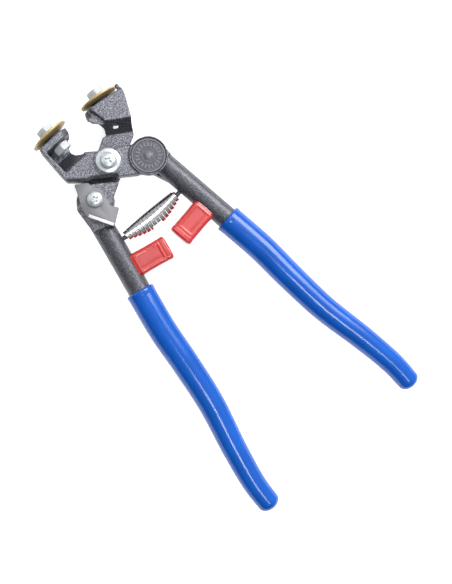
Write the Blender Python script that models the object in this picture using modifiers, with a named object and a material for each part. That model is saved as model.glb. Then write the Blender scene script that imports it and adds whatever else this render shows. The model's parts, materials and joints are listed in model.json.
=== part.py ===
"""Tile nippers with two carbide wheels, as a Blender model of separate pieces.

Two castings cross at a pivot screw. The rear one is turned half a turn about the tool's
length, so each helper below builds one side in the same way. The sides share their sizes
and differ only in the jaw that carries the wheel.

World frame: origin on the pivot axis, on the flat head that the tool lies on. +Y points to
the cutting wheels, +Z to the face with the pivot screw's cross recess, +X to the right.
Side frame: the front lever's own frame, with its origin on the pivot axis halfway through
the tool. The front lever's wheel is at -X and its handle at +X.

Sizes are in millimetres, and the meshes are made in metres.
"""

import math

import bmesh
import bpy
from mathutils import Matrix, Vector

MM = 0.001
OBJECT_NAME = "tile_nippers"

# Clearances
GAP = 0.3  # between pieces that touch
OVERCUT = 1.0  # how far a cutter runs past the surface that it opens
FACETS = 32  # sides of a round piece
FINE_FACETS = 40  # sides of a wheel, a boss or a screw head

# Castings
ARM_HALF_DEPTH = 11.0  # from the tool's middle plane to a casting's outer face
LAP_GAP = 1.6  # between the two castings where they cross
FACE_STEP = 0.01  # keeps faces of joined solids out of one plane

# Cutting wheels and their bolts
WHEEL_TILT = math.radians(5.0)  # outward lean of a wheel's axis at rest
WHEEL_RADIUS = 12.5
WHEEL_HUB_RADIUS = 5.6
WHEEL_THICKNESS = 3.2
WHEEL_RIM = 0.35
BOLT_RADIUS = 2.9
BOLT_HEAD_FLATS = 10.0
BOLT_HEAD_HEIGHT = 4.0
NUT_HEIGHT = 4.8
THREAD_END = 1.6  # bolt standing out of its nut
SEAT_WASHER_RADIUS = 6.6
SEAT_WASHER_THICKNESS = 1.2
SEAT_THICKNESS = 4.4
SEAT_ROUNDING = {"front": 10.3, "rear": 13.4}  # the seat's throat end, round the wheel's axis
POCKET_LENGTH = 14.6  # nut pocket, along the wheel's axis
POCKET_LEVEL = 7.2  # level part of the pocket's floor, below the nut
POCKET_RISE = 10.2  # from there the floor rises by this, to stay off the ramp
POCKET_REACH = 9.2  # nut pocket, outward from the wheel's axis
POCKET_BACK_WALL = 4.8
WINDOW_ACROSS = (2.4, 4.1)  # the rear jaw's window, from the ramp's outer line
WINDOW_ALONG = (4.8, 9.2)
LEDGE_STEP = 2.8  # depth of the step on the jaw's back, beside the throat
JAW_SPAN = 40.0  # longer than any jaw is wide

# Pivot
BUSH_RADIUS = 5.0
BUSH_BORE = 3.3
PIVOT_SCREW_RADIUS = 2.9
PIVOT_SCREW_LENGTH = 15.0
PIVOT_HEAD_RADIUS = 7.4
PIVOT_FLANGE = 1.3
PIVOT_DOME_RADIUS = 5.0
PIVOT_DOME_HEIGHT = 1.7
BUSH_HEAD_HEIGHT = 2.7
WASHER_RADIUS = 9.0
HUB_RADIUS = 8.6  # raised ring round the pivot
HUB_HEIGHT = 0.5

# Bosses and medallions
BOSS_X = 20.3
BOSS_Y = -12.4
BOSS_RADIUS = 11.5
BOSS_RISE = 1.5  # boss rim above the casting's face
BOSS_DROP = 5.0  # depth of the boss's wide part below the casting's face
BOSS_BACK_RADIUS = 9.3
BOSS_BACK_DEPTH = 8.5  # from the middle plane to the boss's other face
MEDALLION_RADIUS = 10.2
MEDALLION_THICKNESS = 1.6
MEDALLION_SINK = 0.5  # rim above the medallion

# Handle tubes
TUBE_OFFSET = 21.76  # from the pivot axis to the tube's axis
TUBE_SPLAY = math.radians(9.9)
TUBE_RADIUS = 7.0
TUBE_END_RADIUS = 5.2
TUBE_WALL = 1.8
TUBE_TOP = 24.5  # start of the tube, along its own axis
TUBE_BEND = 80.0  # end of the tube's straight run
HANDLE_X = (39.0, 41.3, 44.9, 51.7, 55.9, 56.7)  # tube's axis past its straight run
HANDLE_Y = (-98.0, -122.0, -150.0, -180.0, -203.0, -218.0)
GRIP_START = 75.0
GRIP_WALL = 1.4
GRIP_LIP = 0.7  # the grip's mouth thins by this much over its first stretch
GRIP_LIP_LENGTH = 1.2
GRIP_DOME = 0.72  # height of the closed end over its radius
GRIP_DOME_DEGREES = (20.0, 40.0, 58.0, 72.0, 82.0)
HANDLE_FACETS = 16
BORE_FACETS = 12
BEND_STEPS = 2  # points from one handle point to the next
SADDLE_LENGTH = 34.0  # casting's saddle under the tube ends here, along the tube
SADDLE_SHOULDER = 15.0  # start of the saddle's outer side, along the tube
SADDLE_INSET = 0.6  # from the tube's side to the saddle's
SADDLE_SHOULDER_REACH = 8.6  # from the tube's axis to the saddle's shoulder
SADDLE_SLANT = 1.6

# Closing bumpers
BUMPER_TOP = 53.3
BUMPER_LENGTH = 15.2
BUMPER_REACH = TUBE_OFFSET + 6.24  # from the tube's axis to the bumper's end face
BUMPER_DEPTH = 12.0
BUMPER_WALL = 2.6
BUMPER_TIP_SPACE = 3.6  # soft end of the bumper, past its lug
BUMPER_ROUNDING = 1.6
BUMPER_WAIST = 0.5
BUMPER_WAIST_REACH = BUMPER_REACH - 9.0  # from the tube's axis to the waist
BUMPER_MOUTH = 2.4  # from the tube's axis to the cap's open side

# Return spring
SPRING_Y = -40.0
SPRING_TURNS = 20
SPRING_WIRE = 0.65
SPRING_END_RADIUS = 2.5
SPRING_MIDDLE_RADIUS = 5.6
SPRING_SAG = 2.0
POINTS_PER_TURN = 8
SPRING_SIDE_GAP = 1.3  # from the coil's end to the tube
PEG_RADIUS = 1.4
PEG_LENGTH = 4.0

# Opening stop
STOP_THICKNESS = 1.6
STOP_TAB_HEIGHT = 4.6
STOP_SCREW_RADIUS = 2.4
STOP_HEAD_RADIUS = 4.7
STOP_HEAD_HEIGHT = 2.9
STOP_SCREW_LENGTH = 8.0

# Driver recesses: bar length, bar width, depth
PIVOT_RECESS = (5.4, 1.3, 1.8)
STOP_RECESS = (5.0, 1.1, 1.7)

FLOOR_TO_MIDDLE = ARM_HALF_DEPTH + HUB_HEIGHT + GAP + BUSH_HEAD_HEIGHT

COLOURS = {
    "casting": ((0.16, 0.16, 0.18), 0.55, 0.6),
    "steel_tube": ((0.12, 0.12, 0.14), 0.5, 0.6),
    "grip": ((0.02, 0.14, 0.66), 0.3, 0.0),
    "bumper": ((0.6, 0.05, 0.04), 0.4, 0.0),
    "carbide": ((0.3, 0.23, 0.08), 0.3, 1.0),
    "zinc": ((0.75, 0.78, 0.8), 0.25, 1.0),
    "plate": ((0.4, 0.4, 0.41), 0.35, 1.0),
    "spring": ((0.6, 0.6, 0.6), 0.15, 1.0),
}


# ---------------------------------------------------------------- scene and materials


def clear_scene():
    for obj in list(bpy.data.objects):
        bpy.data.objects.remove(obj, do_unlink=True)


def new_collection(name):
    collection = bpy.data.collections.new(name)
    bpy.context.scene.collection.children.link(collection)
    return collection


def make_material(name):
    colour, roughness, metallic = COLOURS[name]
    material = bpy.data.materials.new(name)
    material.use_nodes = True
    shader = material.node_tree.nodes["Principled BSDF"]
    shader.inputs["Base Color"].default_value = (*colour, 1.0)
    shader.inputs["Roughness"].default_value = roughness
    shader.inputs["Metallic"].default_value = metallic
    return material


clear_scene()
PARTS = new_collection(OBJECT_NAME)
CUTTERS = new_collection("cutters")
MATERIALS = {name: make_material(name) for name in COLOURS}


# ---------------------------------------------------------------- shape helpers


def add_mesh_object(name, mesh, parent, helper=False):
    """Puts a mesh in the scene, as a piece or as a hidden cutter."""
    obj = bpy.data.objects.new(name, mesh)
    (CUTTERS if helper else PARTS).objects.link(obj)
    obj.parent = parent
    if helper:
        obj.hide_render = True
        obj.display_type = "WIRE"
    return obj


def finish(obj, material, sharp_degrees=35.0):
    """Gives a piece its material, smooth round faces and sharp edges."""
    obj.data.materials.clear()
    obj.data.materials.append(MATERIALS[material])
    obj.data.shade_smooth()
    obj.data.set_sharp_from_angle(angle=math.radians(sharp_degrees))
    return obj


def rounded(corners):
    """An outline of (x, y, radius) corners, each radius as a short arc."""
    outline = []
    for index, (x, y, radius) in enumerate(corners):
        corner = Vector((x, y))
        before = Vector(corners[index - 1][:2]) - corner
        after = Vector(corners[(index + 1) % len(corners)][:2]) - corner
        if radius <= 0.0:
            outline.append((x, y))
            continue
        half_angle = before.angle(after) / 2.0
        reach = radius / math.tan(half_angle)
        reach = min(reach, 0.48 * before.length, 0.48 * after.length)
        radius = reach * math.tan(half_angle)
        start = corner + before.normalized() * reach
        end = corner + after.normalized() * reach
        centre = corner + (before.normalized() + after.normalized()).normalized() * (
            radius / math.sin(half_angle)
        )
        steps = max(2, round(radius * 1.2) + 1)
        for step in range(steps + 1):
            spoke = (start - centre).lerp(end - centre, step / steps)
            point = centre + spoke.normalized() * radius
            outline.append((point.x, point.y))
    return outline


def slab(name, outline, low, high, parent, helper=False):
    """A flat outline given thickness, from height low to height high."""
    curve = bpy.data.curves.new(name, "CURVE")
    curve.dimensions = "2D"
    curve.fill_mode = "BOTH"
    curve.extrude = (high - low) / 2.0 * MM
    spline = curve.splines.new("POLY")
    spline.points.add(len(outline) - 1)
    for point, (x, y) in zip(spline.points, outline):
        point.co = (x * MM, y * MM, 0.0, 1.0)
    spline.use_cyclic_u = True
    mesh = mesh_from_curve(curve)
    mesh.transform(Matrix.Translation((0.0, 0.0, (low + high) / 2.0 * MM)))
    return add_mesh_object(name, mesh, parent, helper)


def mesh_from_curve(curve):
    """The closed mesh of a filled curve, with its caps welded on."""
    holder = bpy.data.objects.new("curve", curve)
    bpy.context.scene.collection.objects.link(holder)
    bpy.context.view_layer.update()
    depsgraph = bpy.context.evaluated_depsgraph_get()
    mesh = bpy.data.meshes.new_from_object(holder.evaluated_get(depsgraph))
    bpy.data.objects.remove(holder, do_unlink=True)
    shape = bmesh.new()
    shape.from_mesh(mesh)
    bmesh.ops.remove_doubles(shape, verts=shape.verts, dist=0.002 * MM)
    bmesh.ops.recalc_face_normals(shape, faces=shape.faces)
    if shape.calc_volume(signed=True) < 0.0:
        bmesh.ops.reverse_faces(shape, faces=shape.faces)
    shape.to_mesh(mesh)
    shape.free()
    return mesh


def rod(name, points, radii, parent, facets=HANDLE_FACETS, helper=False):
    """A round bar along points, with a radius at each of them."""
    curve = bpy.data.curves.new(name, "CURVE")
    curve.dimensions = "3D"
    curve.bevel_depth = MM
    curve.bevel_resolution = facets // 4 - 1
    curve.use_fill_caps = True
    spline = curve.splines.new("POLY")
    spline.points.add(len(points) - 1)
    for point, place, radius in zip(spline.points, points, radii):
        point.co = (*(Vector(place) * MM), 1.0)
        point.radius = radius
    return add_mesh_object(name, mesh_from_curve(curve), parent, helper)


def drum(name, radius, low, high, parent, centre=(0.0, 0.0), facets=FACETS, helper=False):
    """A cylinder along Z; six facets make a hexagon across whose corners radius runs."""
    shape = bmesh.new()
    bmesh.ops.create_cone(
        shape,
        cap_ends=True,
        segments=facets,
        radius1=radius * MM,
        radius2=radius * MM,
        depth=(high - low) * MM,
    )
    place = Vector((centre[0], centre[1], (low + high) / 2.0)) * MM
    bmesh.ops.translate(shape, verts=shape.verts, vec=place)
    mesh = bpy.data.meshes.new(name)
    shape.to_mesh(mesh)
    shape.free()
    return add_mesh_object(name, mesh, parent, helper)


def block(name, low, high, parent, helper=False):
    """A box between two corners."""
    shape = bmesh.new()
    bmesh.ops.create_cube(shape, size=1.0)
    size = (Vector(high) - Vector(low)) * MM
    middle = (Vector(high) + Vector(low)) / 2.0 * MM
    bmesh.ops.scale(shape, verts=shape.verts, vec=size)
    bmesh.ops.translate(shape, verts=shape.verts, vec=middle)
    mesh = bpy.data.meshes.new(name)
    shape.to_mesh(mesh)
    shape.free()
    return add_mesh_object(name, mesh, parent, helper)


def turned(name, profile, parent, facets=FACETS, closed=False):
    """A (radius, height) profile, listed down its outer side, turned about Z."""
    mesh = bpy.data.meshes.new(name)
    shape = bmesh.new()
    points = [shape.verts.new((radius * MM, 0.0, height * MM)) for radius, height in profile]
    for first, second in zip(points, points[1:]):
        shape.edges.new((first, second))
    if closed:
        shape.edges.new((points[-1], points[0]))
    shape.to_mesh(mesh)
    shape.free()
    obj = add_mesh_object(name, mesh, parent)
    screw = obj.modifiers.new("turn", "SCREW")
    screw.axis = "Z"
    screw.steps = facets
    screw.render_steps = facets
    screw.use_merge_vertices = True
    screw.merge_threshold = 0.00001
    return obj


def combine(target, other, operation):
    """Adds a Boolean of a hidden object to a piece."""
    boolean = target.modifiers.new(f"{operation.lower()} {other.name}", "BOOLEAN")
    boolean.operation = operation
    boolean.object = other
    boolean.solver = "EXACT"


def cut(target, *cutters):
    for cutter in cutters:
        combine(target, cutter, "DIFFERENCE")


def join(target, *others):
    for other in others:
        combine(target, other, "UNION")


def cross_recess(name, size, top, parent):
    """Two crossed bars that cut the driver recess of a screw."""
    length, width, depth = size
    bars = []
    for letter, (along, across) in zip("ab", ((length, width), (width, length))):
        low = (-along / 2.0, -across / 2.0, top - depth)
        high = (along / 2.0, across / 2.0, top + OVERCUT)
        bars.append(block(f"{name}_{letter}", low, high, parent, True))
    return bars


# ---------------------------------------------------------------- places in the side frame


def along_tube(distance, outward=0.0, height=0.0):
    """A point by its distance along the tube's axis and out from that axis."""
    out = Vector((math.cos(TUBE_SPLAY), math.sin(TUBE_SPLAY), 0.0))
    down = Vector((math.sin(TUBE_SPLAY), -math.cos(TUBE_SPLAY), 0.0))
    return out * (TUBE_OFFSET + outward) + down * distance + Vector((0.0, 0.0, height))


def tube_frame(distance):
    """Local X out from the tools' middle, Y up the tube, Z to the front."""
    turn = Matrix.Rotation(TUBE_SPLAY, 4, "Z")
    return Matrix.Translation(along_tube(distance) * MM) @ turn


def jaw_frame(side):
    """Local Y out along the wheel's axis, X to the throat, Z to the front."""
    turn = Matrix.Rotation(WHEEL_TILT, 4, "Z")
    return Matrix.Translation(Vector((*WHEEL_CENTRE[side], 0.0)) * MM) @ turn


def wheel_frame(side):
    """Local Z out along the wheel's axis, X to the throat, Y to the back."""
    return jaw_frame(side) @ Matrix.Rotation(-math.pi / 2.0, 4, "X")


# Heights along the wheel's axis, measured from the wheel's centre
SEAT_TOP = -(WHEEL_THICKNESS / 2.0 + GAP + SEAT_WASHER_THICKNESS + GAP)
SEAT_BOTTOM = SEAT_TOP - SEAT_THICKNESS
NUT_TOP = SEAT_BOTTOM - GAP
NUT_BOTTOM = NUT_TOP - NUT_HEIGHT
BOLT_END = NUT_BOTTOM - THREAD_END
HEAD_BOTTOM = WHEEL_THICKNESS / 2.0 + GAP

# Wheel centres and casting outlines, (x, y, corner radius), in the side frame
WHEEL_CENTRE = {"front": (-16.3, 34.6), "rear": (-20.4, 33.4)}
LAP_BOSS_END = ((9.5, 2.4, 6.0), (20.0, -2.5, 0.0), (20.0, -14.0, 0.0))
LAP = {
    "front": (
        (-26.3, 5.6, 0.0),
        (-26.3, 15.0, 0.0),
        (-11.6, 16.0, 1.0),
        (-1.5, 8.6, 6.0),
        *LAP_BOSS_END,
        (9.1, -17.4, 0.0),
        (-0.8, -11.0, 9.0),
        (-14.2, -2.2, 2.0),
        (-17.2, -1.7, 2.0),
    ),
    "rear": (
        (-26.0, 10.6, 0.0),
        (-26.0, 15.0, 0.0),
        (-10.9, 16.4, 1.0),
        (-0.5, 10.0, 6.0),
        *LAP_BOSS_END,
        (9.9, -16.1, 0.0),
        (-0.8, -10.5, 9.0),
        (-13.5, -1.5, 3.0),
        (-17.7, 1.2, 2.0),
        (-23.3, 4.0, 1.0),
    ),
}
JAW = {
    "front": (
        (-26.5, 5.2, 1.5),
        (-27.0, 36.0, 0.0),
        (-6.0, 36.0, 0.0),
        (-6.8, 27.6, 2.0),
        (-11.6, 25.4, 2.0),
        (-12.9, 19.8, 2.0),
        (-11.6, 16.0, 1.0),
        (-9.6, 14.6, 0.0),
        (-12.0, 4.0, 0.0),
    ),
    "rear": (
        (-23.6, 4.6, 1.0),
        (-25.4, 8.6, 2.0),
        (-27.4, 11.8, 4.0),
        (-33.0, 24.2, 6.0),
        (-34.1, 28.7, 1.5),
        (-32.0, 36.0, 0.0),
        (-9.4, 36.0, 0.0),
        (-7.6, 30.6, 2.5),
        (-6.0, 27.0, 2.5),
        (-7.0, 23.2, 2.5),
        (-9.6, 21.0, 1.5),
        (-10.8, 16.8, 1.5),
        (-9.6, 14.6, 0.0),
        (-12.0, 4.0, 0.0),
    ),
}
# Beside the throat the jaw's back steps in along this line
LEDGE = (
    (-11.0, 8.0, 0.0),
    (-13.4, 20.3, 2.0),
    (-12.4, 25.4, 2.0),
    (-10.9, 28.5, 2.0),
    (-10.9, JAW_SPAN, 0.0),
    (0.0, JAW_SPAN, 0.0),
    (0.0, 8.0, 0.0),
)
# The ramp on the jaw's inner side runs between these two lines
RAMP_FOOT = Vector((-13.2, 19.7, 0.0))
RAMP_DIRECTION = Vector((-14.4, -8.3, 0.0)).normalized()
RAMP_RUN = 6.9
# Ends of the saddle's outline, between the handles and beside the boss
SADDLE_THROAT = {
    "front": ((3.1, -12.1, 0.0), (16.4, -20.0, 2.0)),
    "rear": ((2.6, -13.0, 0.0), (15.9, -20.9, 2.0)),
}
SADDLE_BOSS = ((BOSS_X, BOSS_Y + BOSS_BACK_RADIUS - 2.0, 2.0), (13.4, -5.6, 0.0))
# Stop plate, (x, y, corner radius) from its screw, and the line its tab is bent up along
STOP_OUTLINE = (
    (-4.1, 14.4, 0.8),
    (2.9, 9.9, 0.8),
    (3.2, 6.4, 3.0),
    (5.9, 3.4, 3.0),
    (5.6, -2.4, 2.0),
    (4.4, -8.2, 1.5),
    (7.9, -12.6, 0.8),
    (-1.6, -19.6, 0.8),
    (-10.4, -5.0, 1.0),
    (-9.9, 0.6, 3.0),
    (-7.2, 5.8, 3.0),
)
STOP_TAB_START = Vector((-9.9, -5.8, 0.0))
STOP_TAB_END = Vector((-2.1, -18.8, 0.0))


def ramp_frame():
    """Local X from the ramp's outer line to the pivot, Y to the front."""
    across = Vector((-RAMP_DIRECTION.y, RAMP_DIRECTION.x, 0.0))
    if across.y > 0.0:
        across = -across
    up = Vector((0.0, 0.0, 1.0))
    length = across.cross(up)
    turn = Matrix((across, up, length)).transposed().to_4x4()
    return Matrix.Translation(RAMP_FOOT * MM) @ turn


# ---------------------------------------------------------------- one side's pieces


def make_casting(side, parent):
    """Jaw, crossing lap, boss and tube saddle, cast in one."""
    name = f"{side}_arm"
    lap_low = LAP_GAP / 2.0
    arm = slab(name, rounded(LAP[side]), lap_low, ARM_HALF_DEPTH, parent)

    jaw_face = ARM_HALF_DEPTH - FACE_STEP
    jaw = slab(f"{name}_jaw", rounded(JAW[side]), -ARM_HALF_DEPTH, jaw_face, parent, True)
    boss_top = ARM_HALF_DEPTH + BOSS_RISE
    centre = (BOSS_X, BOSS_Y)
    boss_low = ARM_HALF_DEPTH - BOSS_DROP
    boss = drum(
        f"{name}_boss", BOSS_RADIUS, boss_low, boss_top, parent, centre, FINE_FACETS, True
    )
    boss_back = drum(
        f"{name}_boss_back",
        BOSS_BACK_RADIUS,
        -BOSS_BACK_DEPTH,
        boss_low + OVERCUT,
        parent,
        centre,
        helper=True,
    )
    hub = drum(
        f"{name}_hub",
        HUB_RADIUS,
        lap_low + OVERCUT,
        ARM_HALF_DEPTH + HUB_HEIGHT,
        parent,
        helper=True,
    )

    # The saddle under the tube reaches from the boss down to the tube's free length.
    saddle_width = TUBE_RADIUS - SADDLE_INSET
    lower_out = along_tube(SADDLE_LENGTH, saddle_width)
    lower_in = along_tube(SADDLE_LENGTH + SADDLE_SLANT, -saddle_width + SADDLE_INSET)
    shoulder = along_tube(SADDLE_SHOULDER, SADDLE_SHOULDER_REACH)
    saddle_outline = rounded(
        (
            *SADDLE_THROAT[side],
            (lower_in.x, lower_in.y, 1.0),
            (lower_out.x, lower_out.y, 1.0),
            (shoulder.x, shoulder.y, 2.0),
            *SADDLE_BOSS,
        )
    )
    saddle_low = -BOSS_BACK_DEPTH + FACE_STEP
    saddle = slab(f"{name}_saddle", saddle_outline, saddle_low, 0.0, parent, True)
    join(arm, jaw, boss, boss_back, hub, saddle)

    # The nut pocket is open to the front and to the throat. Its section is drawn with X to
    # the front and Y along the wheel's axis, and swept from the outer wall to the throat.
    floor = POCKET_BACK_WALL - ARM_HALF_DEPTH
    front = ARM_HALF_DEPTH + OVERCUT
    end = SEAT_BOTTOM - POCKET_LENGTH
    pocket_outline = (
        (floor, SEAT_BOTTOM),
        (floor, SEAT_BOTTOM - POCKET_LEVEL),
        (floor + POCKET_RISE, end),
        (front, end),
        (front, SEAT_BOTTOM),
    )
    pocket = slab(
        f"{name}_pocket", pocket_outline, -JAW_SPAN / 2.0, POCKET_REACH, parent, True
    )
    pocket.matrix_local = jaw_frame(side) @ Matrix.Rotation(-math.pi / 2.0, 4, "Y")
    # Its seat is rounded off at the throat.
    seat_low, seat_high = SEAT_BOTTOM - FACE_STEP, SEAT_TOP + OVERCUT
    seat_corners = block(
        f"{name}_seat_corners",
        (0.0, -JAW_SPAN / 2.0, seat_low),
        (JAW_SPAN / 2.0, JAW_SPAN / 2.0, seat_high),
        parent,
        True,
    )
    seat_round = drum(
        f"{name}_seat_round",
        SEAT_ROUNDING[side],
        seat_low - OVERCUT,
        seat_high + OVERCUT,
        parent,
        helper=True,
    )
    for cutter in (seat_corners, seat_round):
        cutter.matrix_local = wheel_frame(side)
    cut(seat_corners, seat_round)
    seat_plane = block(
        f"{name}_seat_plane",
        (-JAW_SPAN / 2.0, SEAT_TOP, -ARM_HALF_DEPTH - OVERCUT),
        (JAW_SPAN / 2.0, SEAT_TOP + JAW_SPAN, ARM_HALF_DEPTH + OVERCUT),
        parent,
        True,
    )
    seat_plane.matrix_local = jaw_frame(side)
    bolt_hole = drum(
        f"{name}_bolt_hole",
        BOLT_RADIUS + GAP,
        SEAT_BOTTOM - OVERCUT,
        SEAT_TOP + OVERCUT,
        parent,
        helper=True,
    )
    bolt_hole.matrix_local = wheel_frame(side)

    # The ramp lets the other casting's lap turn behind the jaw.
    far = 1.5 * JAW_SPAN
    ramp_outline = (
        (0.0, -ARM_HALF_DEPTH),
        (RAMP_RUN, lap_low),
        (far, lap_low),
        (far, -ARM_HALF_DEPTH - OVERCUT),
        (0.0, -ARM_HALF_DEPTH - OVERCUT),
    )
    ramp = slab(f"{name}_ramp", ramp_outline, -far / 2.0, far / 2.0, parent, True)
    ramp.matrix_local = ramp_frame()
    if side == "rear":
        window = block(
            f"{name}_window",
            (WINDOW_ACROSS[0], -ARM_HALF_DEPTH - OVERCUT, WINDOW_ALONG[0]),
            (WINDOW_ACROSS[1], floor + POCKET_RISE, WINDOW_ALONG[1]),
            parent,
            True,
        )
        window.matrix_local = ramp_frame()
        cut(jaw, window)

    step_top = -ARM_HALF_DEPTH + LEDGE_STEP
    step = slab(
        f"{name}_step", rounded(LEDGE), -ARM_HALF_DEPTH - OVERCUT, step_top, parent, True
    )
    # Both cut the jaw before it joins the casting, so they stay off the boss and saddle.
    cut(jaw, ramp, step, seat_corners)

    pivot_bore = drum(
        f"{name}_pivot_bore",
        BUSH_RADIUS + GAP,
        -ARM_HALF_DEPTH,
        ARM_HALF_DEPTH + HUB_HEIGHT + OVERCUT,
        parent,
        helper=True,
    )
    stop_bore = drum(
        f"{name}_stop_bore",
        STOP_SCREW_RADIUS + GAP,
        -BOSS_BACK_DEPTH - OVERCUT,
        -BOSS_BACK_DEPTH + STOP_SCREW_LENGTH,
        parent,
        centre,
        helper=True,
    )
    medallion_seat = drum(
        f"{name}_medallion_seat",
        MEDALLION_RADIUS + GAP,
        boss_top - MEDALLION_SINK - MEDALLION_THICKNESS - GAP,
        boss_top + OVERCUT,
        parent,
        centre,
        FINE_FACETS,
        True,
    )
    tube_bore = rod(
        f"{name}_tube_bore",
        (along_tube(TUBE_TOP - GAP), along_tube(SADDLE_LENGTH + TUBE_RADIUS)),
        (TUBE_RADIUS + GAP, TUBE_RADIUS + GAP),
        parent,
        HANDLE_FACETS,
        True,
    )
    cut(arm, pocket, seat_plane, bolt_hole, pivot_bore, stop_bore, medallion_seat, tube_bore)
    return finish(arm, "casting")


def handle_path(start):
    """Points and tube radii along the handle, from a distance on its straight run."""
    lead = along_tube(TUBE_BEND - (HANDLE_Y[0] - HANDLE_Y[1]))
    knots = [lead, along_tube(TUBE_BEND)]
    knots += [Vector((x, y, 0.0)) for x, y in zip(HANDLE_X, HANDLE_Y)]
    fine = [along_tube(start), knots[1]]
    for index in range(1, len(knots) - 1):
        before, here, after = knots[index - 1 : index + 2]
        beyond = knots[min(index + 2, len(knots) - 1)]
        for step in range(1, BEND_STEPS + 1):
            t = step / BEND_STEPS
            curve = 2.0 * here + (after - before) * t
            curve += (2.0 * before - 5.0 * here + 4.0 * after - beyond) * t**2
            curve += (3.0 * here - before - 3.0 * after + beyond) * t**3
            fine.append(0.5 * curve)
    bend_y = HANDLE_Y[0]
    end_y = HANDLE_Y[-1]
    radii = []
    for point in fine:
        share = min(max((point.y - bend_y) / (end_y - bend_y), 0.0), 1.0)
        radii.append(TUBE_RADIUS + (TUBE_END_RADIUS - TUBE_RADIUS) * share**1.5)
    return fine, radii


def make_tube(side, parent):
    """Steel tube from the casting to just short of the grip's closed end."""
    name = f"{side}_handle_tube"
    points, radii = handle_path(TUBE_TOP)
    tube = rod(name, points, radii, parent)
    ends = [points[0] + (points[0] - points[1]).normalized() * OVERCUT]
    ends += points[1:-1] + [points[-1] + (points[-1] - points[-2]).normalized() * OVERCUT]
    bore_radii = [radius - TUBE_WALL for radius in radii]
    bore = rod(f"{name}_bore", ends, bore_radii, parent, BORE_FACETS, True)
    cut(tube, bore)
    return finish(tube, "steel_tube")


def make_grip(side, parent):
    """Dipped sleeve over the tube, with a rounded closed end."""
    name = f"{side}_grip"
    path, radii = handle_path(GRIP_START)
    outer = GAP + GRIP_WALL
    end = path[-1] + (path[-1] - path[-2]).normalized() * GAP
    forward = (path[-1] - path[-2]).normalized()
    points = path[:-1] + [end]
    widths = [radius + outer for radius in radii]
    tip = widths[-1]
    for angle in GRIP_DOME_DEGREES:
        turn = math.radians(angle)
        points.append(end + forward * (GRIP_DOME * tip * math.sin(turn)))
        widths.append(tip * math.cos(turn))
    lip = widths[0]
    points.insert(1, points[0] + (points[1] - points[0]).normalized() * GRIP_LIP_LENGTH)
    widths[0] = lip - GRIP_LIP
    widths.insert(1, lip)
    grip = rod(name, points, widths, parent)
    bore_points = [path[0] - (path[1] - path[0]).normalized() * OVERCUT] + path[1:-1] + [end]
    bore_radii = [radius + GAP for radius in radii]
    bore = rod(f"{name}_bore", bore_points, bore_radii, parent, HANDLE_FACETS, True)
    cut(grip, bore)
    return finish(grip, "grip", 50.0)


def make_bumper(side, parent):
    """Soft cap and the steel lug that it is pushed onto."""
    lug_name = f"{side}_bumper_lug"
    frame = tube_frame(BUMPER_TOP + BUMPER_LENGTH / 2.0)
    half_length = BUMPER_LENGTH / 2.0
    half_depth = BUMPER_DEPTH / 2.0
    inner_length = half_length - BUMPER_WALL
    inner_depth = half_depth - BUMPER_WALL
    lug_tip = -BUMPER_REACH + BUMPER_TIP_SPACE
    lug = block(
        lug_name,
        (lug_tip + GAP, -inner_length + GAP, -inner_depth + GAP),
        (0.0, inner_length - GAP, inner_depth - GAP),
        parent,
    )
    lug.matrix_local = frame
    tube_clearance = drum(
        f"{side}_bumper_tube_clearance",
        TUBE_RADIUS + GAP,
        -BUMPER_LENGTH,
        BUMPER_LENGTH,
        parent,
        facets=HANDLE_FACETS,
        helper=True,
    )
    tube_clearance.matrix_local = frame @ Matrix.Rotation(math.pi / 2.0, 4, "X")
    cut(lug, tube_clearance)
    finish(lug, "steel_tube")

    cap_name = f"{side}_bumper"
    waist = half_length - BUMPER_WAIST
    mouth = half_length - BUMPER_WALL
    outline = rounded(
        (
            (-BUMPER_REACH, -half_length, BUMPER_ROUNDING),
            (-BUMPER_WAIST_REACH, -waist, 8.0),
            (-BUMPER_MOUTH - 1.2, -half_length, 2.0),
            (-BUMPER_MOUTH, -mouth, 0.0),
            (-BUMPER_MOUTH, mouth, 0.0),
            (-BUMPER_MOUTH - 2.2, half_length, 2.0),
            (-BUMPER_WAIST_REACH, waist, 8.0),
            (-BUMPER_REACH, half_length, BUMPER_ROUNDING),
        )
    )
    cap = slab(cap_name, outline, -half_depth, half_depth, parent)
    cap.matrix_local = frame
    hollow = block(
        f"{cap_name}_hollow",
        (lug_tip, -inner_length, -inner_depth),
        (OVERCUT, inner_length, inner_depth),
        parent,
        True,
    )
    hollow.matrix_local = frame
    cut(cap, hollow, tube_clearance)
    return finish(cap, "bumper")


def make_spring_peg(side, parent):
    """Short stud on the tube's inner side that the spring's end sits over."""
    name = f"{side}_spring_peg"
    frame = tube_frame(spring_distance()) @ Matrix.Rotation(-math.pi / 2.0, 4, "Y")
    peg = drum(name, PEG_RADIUS, 0.0, TUBE_RADIUS + PEG_LENGTH, parent, facets=16)
    peg.matrix_local = frame
    clearance = drum(
        f"{name}_clearance",
        TUBE_RADIUS + GAP,
        -PEG_LENGTH,
        PEG_LENGTH,
        parent,
        facets=HANDLE_FACETS,
        helper=True,
    )
    clearance.matrix_local = tube_frame(spring_distance()) @ Matrix.Rotation(math.pi / 2.0, 4, "X")
    cut(peg, clearance)
    return finish(peg, "steel_tube")


def spring_distance():
    """Distance along the tube at which its inner side is level with the spring's ends."""
    inner = TUBE_OFFSET - TUBE_RADIUS
    return (inner * math.sin(TUBE_SPLAY) - SPRING_Y) / math.cos(TUBE_SPLAY)


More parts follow.
